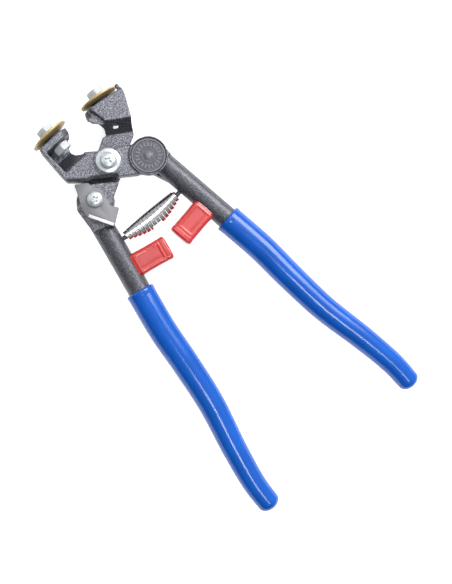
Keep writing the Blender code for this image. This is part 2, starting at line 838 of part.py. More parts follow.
def make_medallion(side, parent):
    """Round badge plate let into the boss."""
    top = ARM_HALF_DEPTH + BOSS_RISE - MEDALLION_SINK
    low = top - MEDALLION_THICKNESS
    plate = turned(
        f"{side}_medallion",
        (
            (0.0, top - 0.3),
            (MEDALLION_RADIUS - 1.6, top - 0.3),
            (MEDALLION_RADIUS - 1.2, top),
            (MEDALLION_RADIUS - 0.4, top),
            (MEDALLION_RADIUS, top - 0.4),
            (MEDALLION_RADIUS, low),
            (0.0, low),
        ),
        parent,
        FINE_FACETS,
    )
    plate.location = Vector((BOSS_X, BOSS_Y, 0.0)) * MM
    return finish(plate, "casting")


def make_wheel_set(side, parent):
    """Carbide wheel, its seat washer, bolt and nut, all on the wheel's axis."""
    half = WHEEL_THICKNESS / 2.0
    bore = BOLT_RADIUS + GAP
    wheel = turned(
        f"{side}_cutting_wheel",
        (
            (WHEEL_HUB_RADIUS, half),
            (WHEEL_RADIUS, WHEEL_RIM / 2.0),
            (WHEEL_RADIUS, -WHEEL_RIM / 2.0),
            (WHEEL_HUB_RADIUS, -half),
            (bore, -half),
            (bore, half),
        ),
        parent,
        FINE_FACETS,
        closed=True,
    )
    washer = turned(
        f"{side}_wheel_washer",
        (
            (SEAT_WASHER_RADIUS, SEAT_TOP + GAP + SEAT_WASHER_THICKNESS),
            (SEAT_WASHER_RADIUS, SEAT_TOP + GAP),
            (bore, SEAT_TOP + GAP),
            (bore, SEAT_TOP + GAP + SEAT_WASHER_THICKNESS),
        ),
        parent,
        closed=True,
    )
    corner = BOLT_HEAD_FLATS / 2.0 / math.cos(math.pi / 6.0)
    bolt = drum(
        f"{side}_wheel_bolt",
        corner,
        HEAD_BOTTOM,
        HEAD_BOTTOM + BOLT_HEAD_HEIGHT,
        parent,
        facets=6,
    )
    shank_top = HEAD_BOTTOM + OVERCUT
    shank = drum(f"{side}_bolt_shank", BOLT_RADIUS, BOLT_END, shank_top, parent, helper=True)
    join(bolt, shank)
    nut = drum(f"{side}_wheel_nut", corner, NUT_BOTTOM, NUT_TOP, parent, facets=6)
    thread_hole = drum(
        f"{side}_nut_hole", bore, NUT_BOTTOM - OVERCUT, NUT_TOP + OVERCUT, parent, helper=True
    )
    cut(nut, thread_hole)
    for piece in (wheel, washer, bolt, shank, nut, thread_hole):
        piece.matrix_local = wheel_frame(side)
    finish(wheel, "carbide", 15.0)
    finish(washer, "zinc")
    finish(bolt, "zinc")
    finish(nut, "zinc")


def make_side(side, axis):
    make_casting(side, axis)
    make_tube(side, axis)
    make_grip(side, axis)
    make_bumper(side, axis)
    make_spring_peg(side, axis)
    make_medallion(side, axis)
    make_wheel_set(side, axis)


# ---------------------------------------------------------------- pieces shared by both sides


def make_pivot(parent):
    """Headed bush through both castings, the screw in it and a washer between the laps."""
    face = ARM_HALF_DEPTH + HUB_HEIGHT + GAP
    head_top = -face
    head_low = head_top - BUSH_HEAD_HEIGHT
    bush_top = ARM_HALF_DEPTH + HUB_HEIGHT - GAP
    screw_low = face - PIVOT_SCREW_LENGTH
    bush = turned(
        "pivot_bush",
        (
            (0.0, screw_low - OVERCUT),
            (BUSH_BORE, screw_low - OVERCUT),
            (BUSH_BORE, bush_top),
            (BUSH_RADIUS, bush_top),
            (BUSH_RADIUS, head_top),
            (PIVOT_HEAD_RADIUS, head_top),
            (PIVOT_HEAD_RADIUS, head_low + 0.6),
            (PIVOT_HEAD_RADIUS - 0.6, head_low),
            (0.0, head_low),
        ),
        parent,
    )
    finish(bush, "zinc")

    dome_top = face + PIVOT_FLANGE + PIVOT_DOME_HEIGHT
    screw = turned(
        "pivot_screw",
        (
            (0.0, dome_top),
            (PIVOT_DOME_RADIUS * 0.55, dome_top - 0.15),
            (PIVOT_DOME_RADIUS * 0.85, dome_top - 0.6),
            (PIVOT_DOME_RADIUS, face + PIVOT_FLANGE + 0.2),
            (PIVOT_HEAD_RADIUS - 0.8, face + PIVOT_FLANGE - 0.2),
            (PIVOT_HEAD_RADIUS, face + 0.5),
            (PIVOT_HEAD_RADIUS, face),
            (PIVOT_SCREW_RADIUS, face),
            (PIVOT_SCREW_RADIUS, screw_low),
            (0.0, screw_low),
        ),
        parent,
    )
    cut(screw, *cross_recess("pivot_recess", PIVOT_RECESS, dome_top, parent))
    finish(screw, "zinc")

    half = LAP_GAP / 2.0 - GAP
    washer = turned(
        "pivot_washer",
        (
            (WASHER_RADIUS, half),
            (WASHER_RADIUS, -half),
            (BUSH_RADIUS + GAP, -half),
            (BUSH_RADIUS + GAP, half),
        ),
        parent,
        closed=True,
    )
    finish(washer, "zinc")


def make_stop(parent):
    """Swinging stop plate on the rear lever's boss, and its screw."""
    axis = bpy.data.objects.new("stop_axis", None)
    PARTS.objects.link(axis)
    axis.parent = parent
    axis.location = Vector((-BOSS_X, BOSS_Y, 0.0)) * MM
    low = BOSS_BACK_DEPTH + GAP
    high = low + STOP_THICKNESS
    screw_low = BOSS_BACK_DEPTH - STOP_SCREW_LENGTH + GAP
    plate = slab("stop_plate", rounded(STOP_OUTLINE), low, high, axis)
    # The finger tab is bent up along the plate's lower edge.
    along = (STOP_TAB_END - STOP_TAB_START).normalized()
    inward = Vector((-along.y, along.x, 0.0))
    if inward.x < 0.0:
        inward = -inward
    corners = (
        STOP_TAB_START,
        STOP_TAB_END,
        STOP_TAB_END + inward * STOP_THICKNESS,
        STOP_TAB_START + inward * STOP_THICKNESS,
    )
    tab_outline = tuple((corner.x, corner.y) for corner in corners)
    tab_low = low + STOP_THICKNESS / 4.0
    tab = slab("stop_tab", tab_outline, tab_low, high + STOP_TAB_HEIGHT, axis, True)
    hole = drum(
        "stop_hole", STOP_SCREW_RADIUS + GAP, low - OVERCUT, high + OVERCUT, axis, helper=True
    )
    join(plate, tab)
    cut(plate, hole)
    finish(plate, "plate")

    head_low = high + GAP
    head_high = head_low + STOP_HEAD_HEIGHT
    screw = turned(
        "stop_plate_screw",
        (
            (0.0, head_high),
            (STOP_HEAD_RADIUS * 0.6, head_high - 0.15),
            (STOP_HEAD_RADIUS * 0.9, head_high - 0.9),
            (STOP_HEAD_RADIUS, head_low + 0.6),
            (STOP_HEAD_RADIUS, head_low),
            (STOP_SCREW_RADIUS, head_low),
            (STOP_SCREW_RADIUS, screw_low),
            (0.0, screw_low),
        ),
        axis,
    )
    cut(screw, *cross_recess("stop_recess", STOP_RECESS, head_high, axis))
    finish(screw, "zinc")


def make_spring(parent):
    """Barrel-shaped coil between the two tubes, sagging a little to the handles' ends."""
    reach = along_tube(spring_distance(), -TUBE_RADIUS).x - SPRING_WIRE - SPRING_SIDE_GAP
    count = SPRING_TURNS * POINTS_PER_TURN
    points = []
    for index in range(count + 1):
        share = index / count
        belly = math.sin(math.pi * share)
        radius = SPRING_END_RADIUS + (SPRING_MIDDLE_RADIUS - SPRING_END_RADIUS) * belly
        turn = 2.0 * math.pi * index / POINTS_PER_TURN
        x = -reach + 2.0 * reach * share
        y = SPRING_Y - SPRING_SAG * belly + radius * math.cos(turn)
        points.append((x, y, radius * math.sin(turn)))
    spring = rod("return_spring", points, [SPRING_WIRE] * len(points), parent, 8)
    return finish(spring, "spring", 60.0)


# ---------------------------------------------------------------- assembly


def make_axis(name, half_turn):
    """Empty on the pivot axis, halfway through the tool."""
    axis = bpy.data.objects.new(name, None)
    PARTS.objects.link(axis)
    axis.location = (0.0, 0.0, FLOOR_TO_MIDDLE * MM)
    axis.rotation_euler = (0.0, math.pi if half_turn else 0.0, 0.0)
    return axis


front_axis = make_axis("front_lever_axis", False)
rear_axis = make_axis("rear_lever_axis", True)
middle_axis = make_axis("pivot_axis", False)
make_side("front", front_axis)
make_side("rear", rear_axis)
make_pivot(middle_axis)
make_stop(middle_axis)
make_spring(middle_axis)
bpy.context.view_layer.update()
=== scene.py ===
# %% [markdown]
# # Tile nippers, finished for the camera
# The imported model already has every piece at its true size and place, and it knows how
# the pieces move. This script gives each piece the surface and the small shapes that the
# plain solids lack: cast edges, threads, coils, dipped grips, paint and plating.
# Nothing here moves a solid. A finer piece either stands for one or lies on one.

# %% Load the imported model
import json
import math

import bmesh
import bpy
from mathutils import Matrix, Vector


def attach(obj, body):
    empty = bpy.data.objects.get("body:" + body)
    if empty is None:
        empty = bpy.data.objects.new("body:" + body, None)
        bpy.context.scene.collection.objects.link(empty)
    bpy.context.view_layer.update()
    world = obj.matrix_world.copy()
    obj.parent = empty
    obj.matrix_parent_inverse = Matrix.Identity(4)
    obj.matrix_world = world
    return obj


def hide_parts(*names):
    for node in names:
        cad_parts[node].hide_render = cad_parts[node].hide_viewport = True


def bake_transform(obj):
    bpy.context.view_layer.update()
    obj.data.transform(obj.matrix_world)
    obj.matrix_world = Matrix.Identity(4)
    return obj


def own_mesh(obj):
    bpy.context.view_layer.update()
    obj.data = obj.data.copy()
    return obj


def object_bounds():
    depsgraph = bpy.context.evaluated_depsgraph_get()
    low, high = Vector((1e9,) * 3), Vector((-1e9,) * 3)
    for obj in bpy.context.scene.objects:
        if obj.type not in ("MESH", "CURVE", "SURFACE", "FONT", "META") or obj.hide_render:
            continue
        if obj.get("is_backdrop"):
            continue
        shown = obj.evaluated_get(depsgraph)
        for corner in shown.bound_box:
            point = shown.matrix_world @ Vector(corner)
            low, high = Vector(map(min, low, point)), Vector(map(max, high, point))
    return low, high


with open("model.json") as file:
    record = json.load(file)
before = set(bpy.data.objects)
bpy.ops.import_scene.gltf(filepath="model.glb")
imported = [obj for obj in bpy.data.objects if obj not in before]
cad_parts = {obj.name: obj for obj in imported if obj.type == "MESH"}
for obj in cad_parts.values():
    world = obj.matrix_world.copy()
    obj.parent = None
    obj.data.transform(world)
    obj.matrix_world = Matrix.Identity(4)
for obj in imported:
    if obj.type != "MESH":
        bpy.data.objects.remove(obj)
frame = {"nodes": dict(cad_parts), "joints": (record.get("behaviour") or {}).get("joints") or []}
cad_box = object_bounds()
SOLIDS = frame["nodes"]
JOINTS = {joint["name"]: joint for joint in frame["joints"]}
MM = 0.001
print("pieces in the packed model:", len(SOLIDS))

# %% [markdown]
# ## Places
# The tool has two levers. The rear one is the front one turned half a turn about the
# tool's length, so a piece is drawn once in the front lever's frame, in millimetres from
# the middle of the pivot, and a matrix puts it on either lever. The wheels have frames of
# their own, with Z along their bolts. All of these come from the joints.

# %% Frames for the levers, wheels and stop plate
PIVOT = Vector(JOINTS["lever_close"]["pos_m"])
LEVER = {
    "front": Matrix.Translation(PIVOT),
    "rear": Matrix.Translation(PIVOT) @ Matrix.Rotation(math.pi, 4, "Y"),
}


def frame_on(joint, back):
    """Z along the joint's axis and Y towards the lever's back."""
    z = Vector(joint["axis"]).normalized()
    x = Vector(back).cross(z)
    turn = Matrix((x, z.cross(x), z)).transposed().to_4x4()
    return Matrix.Translation(joint["pos_m"]) @ turn


WHEEL = {
    "front": frame_on(JOINTS["front_wheel_turn"], (0.0, 0.0, -1.0)),
    "rear": frame_on(JOINTS["rear_wheel_turn"], (0.0, 0.0, 1.0)),
}
STOP = Matrix.Translation(JOINTS["stop_swing"]["pos_m"])


def reach(node, place):
    """Lowest and highest corner of a solid in a frame, in millimetres."""
    back = place.inverted()
    points = [back @ vertex.co / MM for vertex in SOLIDS[node].data.vertices]
    low = Vector([min(point[axis] for point in points) for axis in range(3)])
    high = Vector([max(point[axis] for point in points) for axis in range(3)])
    return low, high


print("wheel bolt along its own axis:", reach("front_wheel_bolt", WHEEL["front"]))

# %% [markdown]
# ## Colours and nodes
# Colours are written as the hex codes that a paint shop would give and turned to the
# linear values that the shader needs. One helper adds a node, sets it and links it, so
# that each finish below reads as a short recipe.


# %% Helpers for materials
def colour(code):
    """Linear colour of an sRGB hex code."""
    channels = [int(code[i : i + 2], 16) / 255.0 for i in (1, 3, 5)]
    linear = [c / 12.92 if c <= 0.04045 else ((c + 0.055) / 1.055) ** 2.4 for c in channels]
    return (*linear, 1.0)


def add(tree, kind, inputs=None, **settings):
    """Adds a node; an input is a value or another node's output socket."""
    node = tree.nodes.new(kind)
    for key, value in settings.items():
        setattr(node, key, value)
    for key, value in (inputs or {}).items():
        if isinstance(value, bpy.types.NodeSocket):
            tree.links.new(value, node.inputs[key])
        else:
            node.inputs[key].default_value = value
    return node


def new_finish(name, roughness, metallic=0.0, **sockets):
    """A material, its tree, its shader and the object's own coordinates."""
    material = bpy.data.materials.new(name)
    material.use_nodes = True
    tree = material.node_tree
    shader = tree.nodes["Principled BSDF"]
    shader.inputs["Roughness"].default_value = roughness
    shader.inputs["Metallic"].default_value = metallic
    for key, value in sockets.items():
        shader.inputs[key.replace("_", " ")].default_value = value
    place = add(tree, "ShaderNodeTexCoord").outputs["Object"]
    return material, tree, shader, place


def ramp(tree, source, *stops):
    """Colours spread over a value: each stop is a position and a linear colour."""
    node = add(tree, "ShaderNodeValToRGB", {"Fac": source})
    band = node.color_ramp
    while len(band.elements) < len(stops):
        band.elements.new(0.5)
    for element, (position, shade) in zip(band.elements, stops):
        element.position = position
        element.color = shade
    return node.outputs["Color"]


# %% [markdown]
# ## Hammered enamel on the castings and tubes
# The levers are cast steel under hammered enamel: paint with silicone and aluminium
# flake that pulls itself into little cells as it dries. The eye gets a dark grey skin
# with paler flecks, bright where a cell faces the light. The cells are about 1 mm across,
# drawn with a noise at that size, and the same noise raises them. Slopes and corners are
# painted darker: painted shade for the shade that falls there. A value stored on each mesh
# says how much painted shade a vertex gets, from how steep the surface is.


# %% Hammered enamel
PAINTED_SHADE_ATTRIBUTE = "slope"
# Painted shade: the dark colour that steep faces and corners are mixed towards
PAINTED_SHADE_COLOUR = "#16171C"


def blend_to(tree, shader, skin, shade, share):
    """Base colour that goes from a skin to another colour by a share."""
    mixed = add(tree, "ShaderNodeMix", data_type="RGBA")
    tree.links.new(share, mixed.inputs["Factor"])
    from_pin, to_pin = [pin for pin in mixed.inputs if pin.type == "RGBA"]
    tree.links.new(skin, from_pin)
    to_pin.default_value = shade
    result = [pin for pin in mixed.outputs if pin.type == "RGBA"][0]
    tree.links.new(result, shader.inputs["Base Color"])


def hammered_enamel(name, cell_mm, dark, middle, pale, height_mm, roughness=0.42):
    """Flecked paint with raised cells of a given size, and painted shade where the mesh is
    steep.
    """
    material, tree, shader, place = new_finish(name, roughness, 0.2)
    per_metre = 1.0 / (cell_mm * MM)
    cells = add(
        tree,
        "ShaderNodeTexNoise",
        {"Vector": place, "Scale": per_metre, "Detail": 2.5, "Roughness": 0.6},
    )
    skin = ramp(
        tree,
        cells.outputs["Fac"],
        (0.36, colour(dark)),
        (0.5, colour(middle)),
        (0.66, colour(pale)),
    )
    # Painted shade on steep faces, by the share stored on each mesh
    slope = add(tree, "ShaderNodeAttribute", attribute_name=PAINTED_SHADE_ATTRIBUTE).outputs["Fac"]
    blend_to(tree, shader, skin, colour(PAINTED_SHADE_COLOUR), slope)
    bump = add(
        tree,
        "ShaderNodeBump",
        {"Height": cells.outputs["Fac"], "Distance": height_mm * MM, "Strength": 0.9},
    )
    tree.links.new(bump.outputs["Normal"], shader.inputs["Normal"])
    return material


CASTING = hammered_enamel("hammered_enamel_cast", 0.8, "#3A3B44", "#64656E", "#989AA3", 0.24)
TUBE = hammered_enamel("hammered_enamel_tube", 0.7, "#2C2D34", "#44454D", "#64656E", 0.14, 0.34)
BADGE = hammered_enamel("hammered_enamel_badge", 0.6, "#33343B", "#4B4C54", "#666770", 0.14)
print("finishes:", CASTING.name, TUBE.name, BADGE.name)

# %% [markdown]
# ## Dipped and moulded vinyl
# The grips are made by dipping the hot tubes into liquid PVC. The skin that sets is glossy
# and a little wavy. The bumpers are injection moulded in a softer vinyl that lets a
# little light in; here they are drawn as opaque plastic with a clear coat.


# %% Vinyl for the grips and the bumpers
def vinyl(name, shade, deep, roughness, ripple_mm, **sockets):
    """Glossy plastic whose colour drifts a little and whose skin has a faint ripple."""
    material, tree, shader, place = new_finish(name, roughness, **sockets)
    flow = add(tree, "ShaderNodeTexNoise", {"Vector": place, "Scale": 60.0, "Detail": 3.0})
    body = ramp(tree, flow.outputs["Fac"], (0.3, colour(deep)), (0.7, colour(shade)))
    tree.links.new(body, shader.inputs["Base Color"])
    ripple = add(tree, "ShaderNodeTexNoise", {"Vector": place, "Scale": 350.0, "Detail": 2.0})
    bump = add(
        tree,
        "ShaderNodeBump",
        {"Height": ripple.outputs["Fac"], "Distance": ripple_mm * MM, "Strength": 0.35},
    )
    tree.links.new(bump.outputs["Normal"], shader.inputs["Normal"])
    return material


GRIP = vinyl("dipped_blue_pvc", "#0E55B4", "#0C4DA6", 0.17, 0.005, Specular_IOR_Level=0.4)
BUMPER = vinyl("moulded_red_pvc", "#BF2B29", "#AB2220", 0.36, 0.08, Coat_Weight=0.5)
print("finishes:", GRIP.name, BUMPER.name)

# %% [markdown]
# ## Plated, coated and bare metals
# Bright zinc plate is a soft, slightly milky mirror, and duller on the wheel bolts, which
# get more handling. The washers under the wheels are painted near black, as painted shade
# beneath the wheels. The wheels are sintered carbide with a thin gold titanium nitride
# coat. The stop plate is pressed steel with the straight scratches of a belt sander, and
# the spring is chrome. One more helper paints paler what stands above a level: a painted
# highlight on the stop plate's tab, and paler raised marks on the badge.


# %% Metals
def plated(name, shade, dull, roughness, cloud_mm, stretch=(1.0, 1.0, 1.0), metallic=1.0):
    """Metal with soft clouds in its colour and gloss; a stretch makes them scratches."""
    material, tree, shader, place = new_finish(name, roughness, metallic)
    along = add(tree, "ShaderNodeMapping", {"Vector": place, "Scale": stretch})
    cloud = add(
        tree,
        "ShaderNodeTexNoise",
        {"Vector": along.outputs["Vector"], "Scale": 1.0 / (cloud_mm * MM), "Detail": 3.0},
    )
    skin = ramp(tree, cloud.outputs["Fac"], (0.3, colour(dull)), (0.7, colour(shade)))
    tree.links.new(skin, shader.inputs["Base Color"])
    rough = add(
        tree,
        "ShaderNodeMapRange",
        {
            "Value": cloud.outputs["Fac"],
            "To Min": roughness * 0.75,
            "To Max": roughness * 1.35,
        },
    )
    tree.links.new(rough.outputs["Result"], shader.inputs["Roughness"])
    bump = add(
        tree,
        "ShaderNodeBump",
        {"Height": cloud.outputs["Fac"], "Distance": 0.006 * MM, "Strength": 0.5},
    )
    tree.links.new(bump.outputs["Normal"], shader.inputs["Normal"])
    return material


ZINC = plated("bright_zinc_plate", "#D3D9DC", "#B9C1C5", 0.3, 2.5, metallic=0.7)
DULL_ZINC = plated("dull_zinc_plate", "#BDC2C5", "#A3AAAE", 0.45, 2.0, metallic=0.2)
# The washers are painted near black: painted shade under the wheels
WASHER_DARK_SHADE = plated("phosphated_steel", "#3A3B3E", "#2B2C2F", 0.6, 2.0, metallic=0.3)
CARBIDE = plated("gold_nitride_on_carbide", "#BCA674", "#A18B60", 0.4, 1.2, metallic=0.3)
PLATE = plated("sanded_steel", "#7C7C7F", "#6C6C70", 0.5, 3.0, (14.0, 1.0, 1.0), 0.6)
CHROME = plated("chrome_plate", "#F0F1F2", "#DADCDE", 0.1, 6.0)


def paler_above_level(material, level_mm, shade):
    """Makes whatever stands higher than a level above the tool's middle paler."""
    tree = material.node_tree
    shader = tree.nodes["Principled BSDF"]
    skin = shader.inputs["Base Color"].links[0].from_socket
    place = add(tree, "ShaderNodeTexCoord").outputs["Object"]
    depth = add(tree, "ShaderNodeSeparateXYZ", {"Vector": place}).outputs["Z"]
    offset = add(tree, "ShaderNodeMath", {0: depth, 1: PIVOT.z}, operation="SUBTRACT")
    height = add(tree, "ShaderNodeMath", {0: offset.outputs[0]}, operation="ABSOLUTE")
    share = add(
        tree,
        "ShaderNodeMapRange",
        {
            "Value": height.outputs[0],
            "From Min": (level_mm - 0.1) * MM,
            "From Max": (level_mm + 0.1) * MM,
        },
    )
    blend_to(tree, shader, skin, colour(shade), share.outputs["Result"])


# The stop plate's tab is painted paler, a painted highlight where the bent tab faces the light;
# the badge's raised marks are painted paler than its field
paler_above_level(PLATE, 12.0, "#D2D2D4")
paler_above_level(BADGE, 11.8, "#6A6B74")
for finish in (ZINC, DULL_ZINC, WASHER_DARK_SHADE, CARBIDE, PLATE, CHROME):
    print("finish:", finish.name)

# %% [markdown]
# ## Putting a piece in the scene
# Every finished piece keeps its place in its mesh, with the object itself at the origin.


# %% Helper for finished pieces
def place_piece(name, mesh, place, finish, body, stands_for, sharp=32.0):
    """A finished mesh as a piece; sharp is the angle, in degrees, that stays an edge."""
    mesh.transform(place)
    mesh.materials.clear()
    mesh.materials.append(finish)
    mesh.shade_smooth()
    mesh.set_sharp_from_angle(angle=math.radians(sharp))
    piece = bpy.data.objects.new(name, mesh)
    bpy.context.scene.collection.objects.link(piece)
    if body:
        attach(piece, body)
    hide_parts(*stands_for)
    return piece


def mesh_of(obj):
    """The mesh that an object's modifiers or curve make; the object is removed."""
    bpy.context.view_layer.update()
    graph = bpy.context.evaluated_depsgraph_get()
    mesh = bpy.data.meshes.new_from_object(obj.evaluated_get(graph))
    bpy.data.objects.remove(obj, do_unlink=True)
    return mesh


def helper_object(name, mesh):
    """A mesh as an object that modifiers can work on."""
    obj = bpy.data.objects.new(name, mesh)
    bpy.context.scene.collection.objects.link(obj)
    return obj


# %% [markdown]
# ## Turned pieces
# Wheels, washers and screws are all made on a lathe, so they are drawn as one does there:
# half a section, turned about the axis. A hexagon is the same turned shape with its
# radius held inside six flats, which also gives the round chamfer that real bolt heads
# have at their corners.


# %% Lathe
def turned(profile, facets=96, flats=0.0, ring=False, thread=None):
    """Mesh of a (radius, height) profile in mm.

    flats is the size across six flats; ring closes the profile on itself; thread is
    (first row, last row, pitch, depth).
    """
    shape = bmesh.new()
    rows = []
    for index, (radius, height) in enumerate(profile):
        if radius <= 0.0:
            rows.append([shape.verts.new((0.0, 0.0, height * MM))])
            continue
        row = []
        for step in range(facets):
            angle = 2.0 * math.pi * step / facets
            size = radius
            if flats:
                bend = (angle + math.pi / 6.0) % (math.pi / 3.0) - math.pi / 6.0
                size = min(radius, flats / 2.0 / math.cos(bend))
            if thread and thread[0] <= index <= thread[1]:
                pitch, depth = thread[2:]
                turn = (height / pitch - step / facets) % 1.0
                size -= depth * abs(2.0 * turn - 1.0)
            point = Vector((size * math.cos(angle), size * math.sin(angle), height))
            row.append(shape.verts.new(point * MM))
        rows.append(row)
    pairs = list(zip(rows, rows[1:])) + ([(rows[-1], rows[0])] if ring else [])
    for upper, lower in pairs:
        for step in range(facets):
            following = (step + 1) % facets
            corners = [
                upper[step % len(upper)],
                upper[following % len(upper)],
                lower[following % len(lower)],
                lower[step % len(lower)],
            ]
            shape.faces.new(list(dict.fromkeys(corners)))
    bmesh.ops.recalc_face_normals(shape, faces=shape.faces)
    mesh = bpy.data.meshes.new("turned")
    shape.to_mesh(mesh)
    shape.free()
    return mesh


def joined(*meshes):
    """Several closed shells in one mesh."""
    shape = bmesh.new()
    for mesh in meshes:
        shape.from_mesh(mesh)
    result = bpy.data.meshes.new("joined")
    shape.to_mesh(result)
    shape.free()
    return result


# %% Cutting wheels: a lens that is ground to an edge, with a flat hub
WHEEL_BORE = 3.2
WHEEL_HUB = 5.9
# The lens beyond the hub, in shares of the wheel's radius and of half its thickness
WHEEL_LENS = ((0.62, 0.93), (0.76, 0.8), (0.88, 0.62), (0.96, 0.45))


def wheel_mesh(side):
    rim, half = reach(f"{side}_cutting_wheel", WHEEL[side])[1].xz
    profile = [
        (WHEEL_BORE, half - 0.25),
        (WHEEL_BORE + 0.25, half),
        (WHEEL_HUB - 0.3, half),
        (WHEEL_HUB, half - 0.04),
        *((rim * outward, half * upward) for outward, upward in WHEEL_LENS),
        (rim - 0.1, half * 0.34),
        (rim, half * 0.22),
    ]
    mirrored = [(radius, -height) for radius, height in reversed(profile)]
    return turned(profile + mirrored, 128, ring=True)


for side in ("front", "rear"):
    wheel = place_piece(
        f"{side}_wheel_ground",
        wheel_mesh(side),
        WHEEL[side],
        CARBIDE,
        f"{side}_wheel",
        [f"{side}_cutting_wheel"],
        24.0,
    )
    print(wheel.name, len(wheel.data.polygons), "faces")


# %% Hexagons and threads
HEAD_HEIGHT = 4.0
SHANK_RADIUS = 2.9
NUT_BORE = 3.25
WASHER_BORE = 3.2
THREAD_PITCH = 1.0
THREAD_DEPTH = 0.55


def hexagon_rows(low, high, flats):
    """Rows of a hexagon with a chamfered top and a rounded foot."""
    corner = flats / 2.0 / math.cos(math.pi / 6.0)
    inside = flats / 2.0
    return [
        (0.0, high),
        (inside - 0.7, high),
        (inside - 0.35, high - 0.05),
        (inside + 0.1, high - 0.3),
        (corner - 0.25, high - 0.62),
        (corner, high - 0.85),
        (corner, low + 0.3),
        (corner - 0.25, low + 0.08),
        (inside - 0.1, low),
    ]


def thread_rows(radius, low, high):
    """Rows for a screw thread, from its chamfered end at low up to high."""
    count = max(4, round((high - low) / THREAD_PITCH * 6))
    rows = [(radius, high + (low - high) * step / count) for step in range(count + 1)]
    return rows + [(radius - 0.55, low - 0.1), (radius - 0.7, low - 0.15), (0.0, low - 0.15)]


# %% Wheel bolts, nuts and washers
for side in ("front", "rear"):
    low, high = reach(f"{side}_wheel_bolt", WHEEL[side])
    nut_low, nut_high = reach(f"{side}_wheel_nut", WHEEL[side])
    washer_low, washer_high = reach(f"{side}_wheel_washer", WHEEL[side])
    head_low = high.z - HEAD_HEIGHT
    flats = 2.0 * min(high.x, high.y)
    head = turned(hexagon_rows(head_low, high.z, flats) + [(0.0, head_low)], 72, flats)
    shank_top = head_low + 0.5  # inside the head
    rows = [(0.0, shank_top), (SHANK_RADIUS, shank_top), (SHANK_RADIUS, nut_high.z)]
    rows += thread_rows(SHANK_RADIUS, low.z + 0.15, nut_high.z - 0.2)
    shank = turned(rows, 48, thread=(3, len(rows) - 4, THREAD_PITCH, THREAD_DEPTH))
    nut_rows = hexagon_rows(nut_low.z, nut_high.z, flats)[1:]
    nut_rows = [(NUT_BORE, nut_high.z), *nut_rows, (NUT_BORE, nut_low.z)]
    edge = washer_high.x
    washer_rows = [
        (WASHER_BORE, washer_high.z),
        (edge - 0.3, washer_high.z),
        (edge, washer_high.z - 0.25),
        (edge, washer_low.z + 0.25),
        (edge - 0.3, washer_low.z),
        (WASHER_BORE, washer_low.z),
    ]
    for kind, mesh, finish in (
        ("bolt", joined(head, shank), DULL_ZINC),
        ("nut", turned(nut_rows, 72, flats, ring=True), DULL_ZINC),
        ("washer", turned(washer_rows, 64, ring=True), WASHER_DARK_SHADE),
    ):
        place_piece(
            f"{side}_{kind}_plated",
            mesh,
            WHEEL[side],
            finish,
            f"{side}_lever",
            [f"{side}_wheel_{kind}"],
        )
    print(side, "bolt head across flats:", round(flats, 2), "mm")

# %% [markdown]
# ## Screws with a cross recess
# The pivot screw has a wide flange and a low dome, and the stop plate is held by a
# pan head. A tapered punch makes their cross recess, so a tapered cross is cut out here.


# %% Cross recess
def tapered_cross(length, width, depth, top):
    """A driver's cross as two wedges, its wide end at height top and open above it."""
    meshes = []
    for turn in (0.0, math.pi / 2.0):
        shape = bmesh.new()
        bmesh.ops.create_cube(shape, size=1.0)
        for vertex in shape.verts:
            tip = vertex.co.z < 0.0
            vertex.co.x *= length * (0.45 if tip else 1.05)
            vertex.co.y *= width * (0.7 if tip else 1.05)
            vertex.co.z = top - depth if tip else top + 0.6
        bmesh.ops.scale(shape, verts=shape.verts, vec=(MM, MM, MM))
        mesh = bpy.data.meshes.new("wedge")
        shape.to_mesh(mesh)
        shape.free()
        mesh.transform(Matrix.Rotation(turn, 4, "Z"))
        meshes.append(mesh)
    return meshes


def punched(mesh, cutters, turn_degrees):
    """A mesh with each cutter, turned about Z, taken out of it."""
    for cutter in cutters:
        cutter.transform(Matrix.Rotation(math.radians(turn_degrees), 4, "Z"))
    body = helper_object("head", mesh)
    tools = [helper_object("punch", cutter) for cutter in cutters]
    for tool in tools:
        cut = body.modifiers.new(tool.name, "BOOLEAN")
        cut.operation = "DIFFERENCE"
        cut.solver = "EXACT"
        cut.object = tool
    result = mesh_of(body)
    for tool in tools:
        bpy.data.objects.remove(tool, do_unlink=True)
    return result


# %% Pivot screw
PIVOT_HEAD = 3.0
PIVOT_SHANK = 2.9
low, high = reach("pivot_screw", LEVER["front"])
flange = high.x
face = high.z - PIVOT_HEAD
pivot_rows = [
    (0.0, high.z),
    (1.6, high.z - 0.03),
    (2.9, high.z - 0.22),
    (3.9, high.z - 0.62),
    (4.55, high.z - 1.15),
    (4.85, high.z - 1.6),
    (5.2, high.z - 1.78),
    (6.4, high.z - 1.88),
    (flange - 0.5, high.z - 2.02),
    (flange - 0.12, high.z - 2.25),
    (flange, high.z - 2.6),
    (flange - 0.1, face + 0.02),
    (PIVOT_SHANK, face),
    (PIVOT_SHANK, low.z),
    (0.0, low.z),
]
place_piece(
    "pivot_screw_plated",
    punched(turned(pivot_rows, 96), tapered_cross(4.6, 1.15, 2.0, high.z), 22.0),
    LEVER["front"],
    ZINC,
    "rear_lever",
    ["pivot_screw"],
)

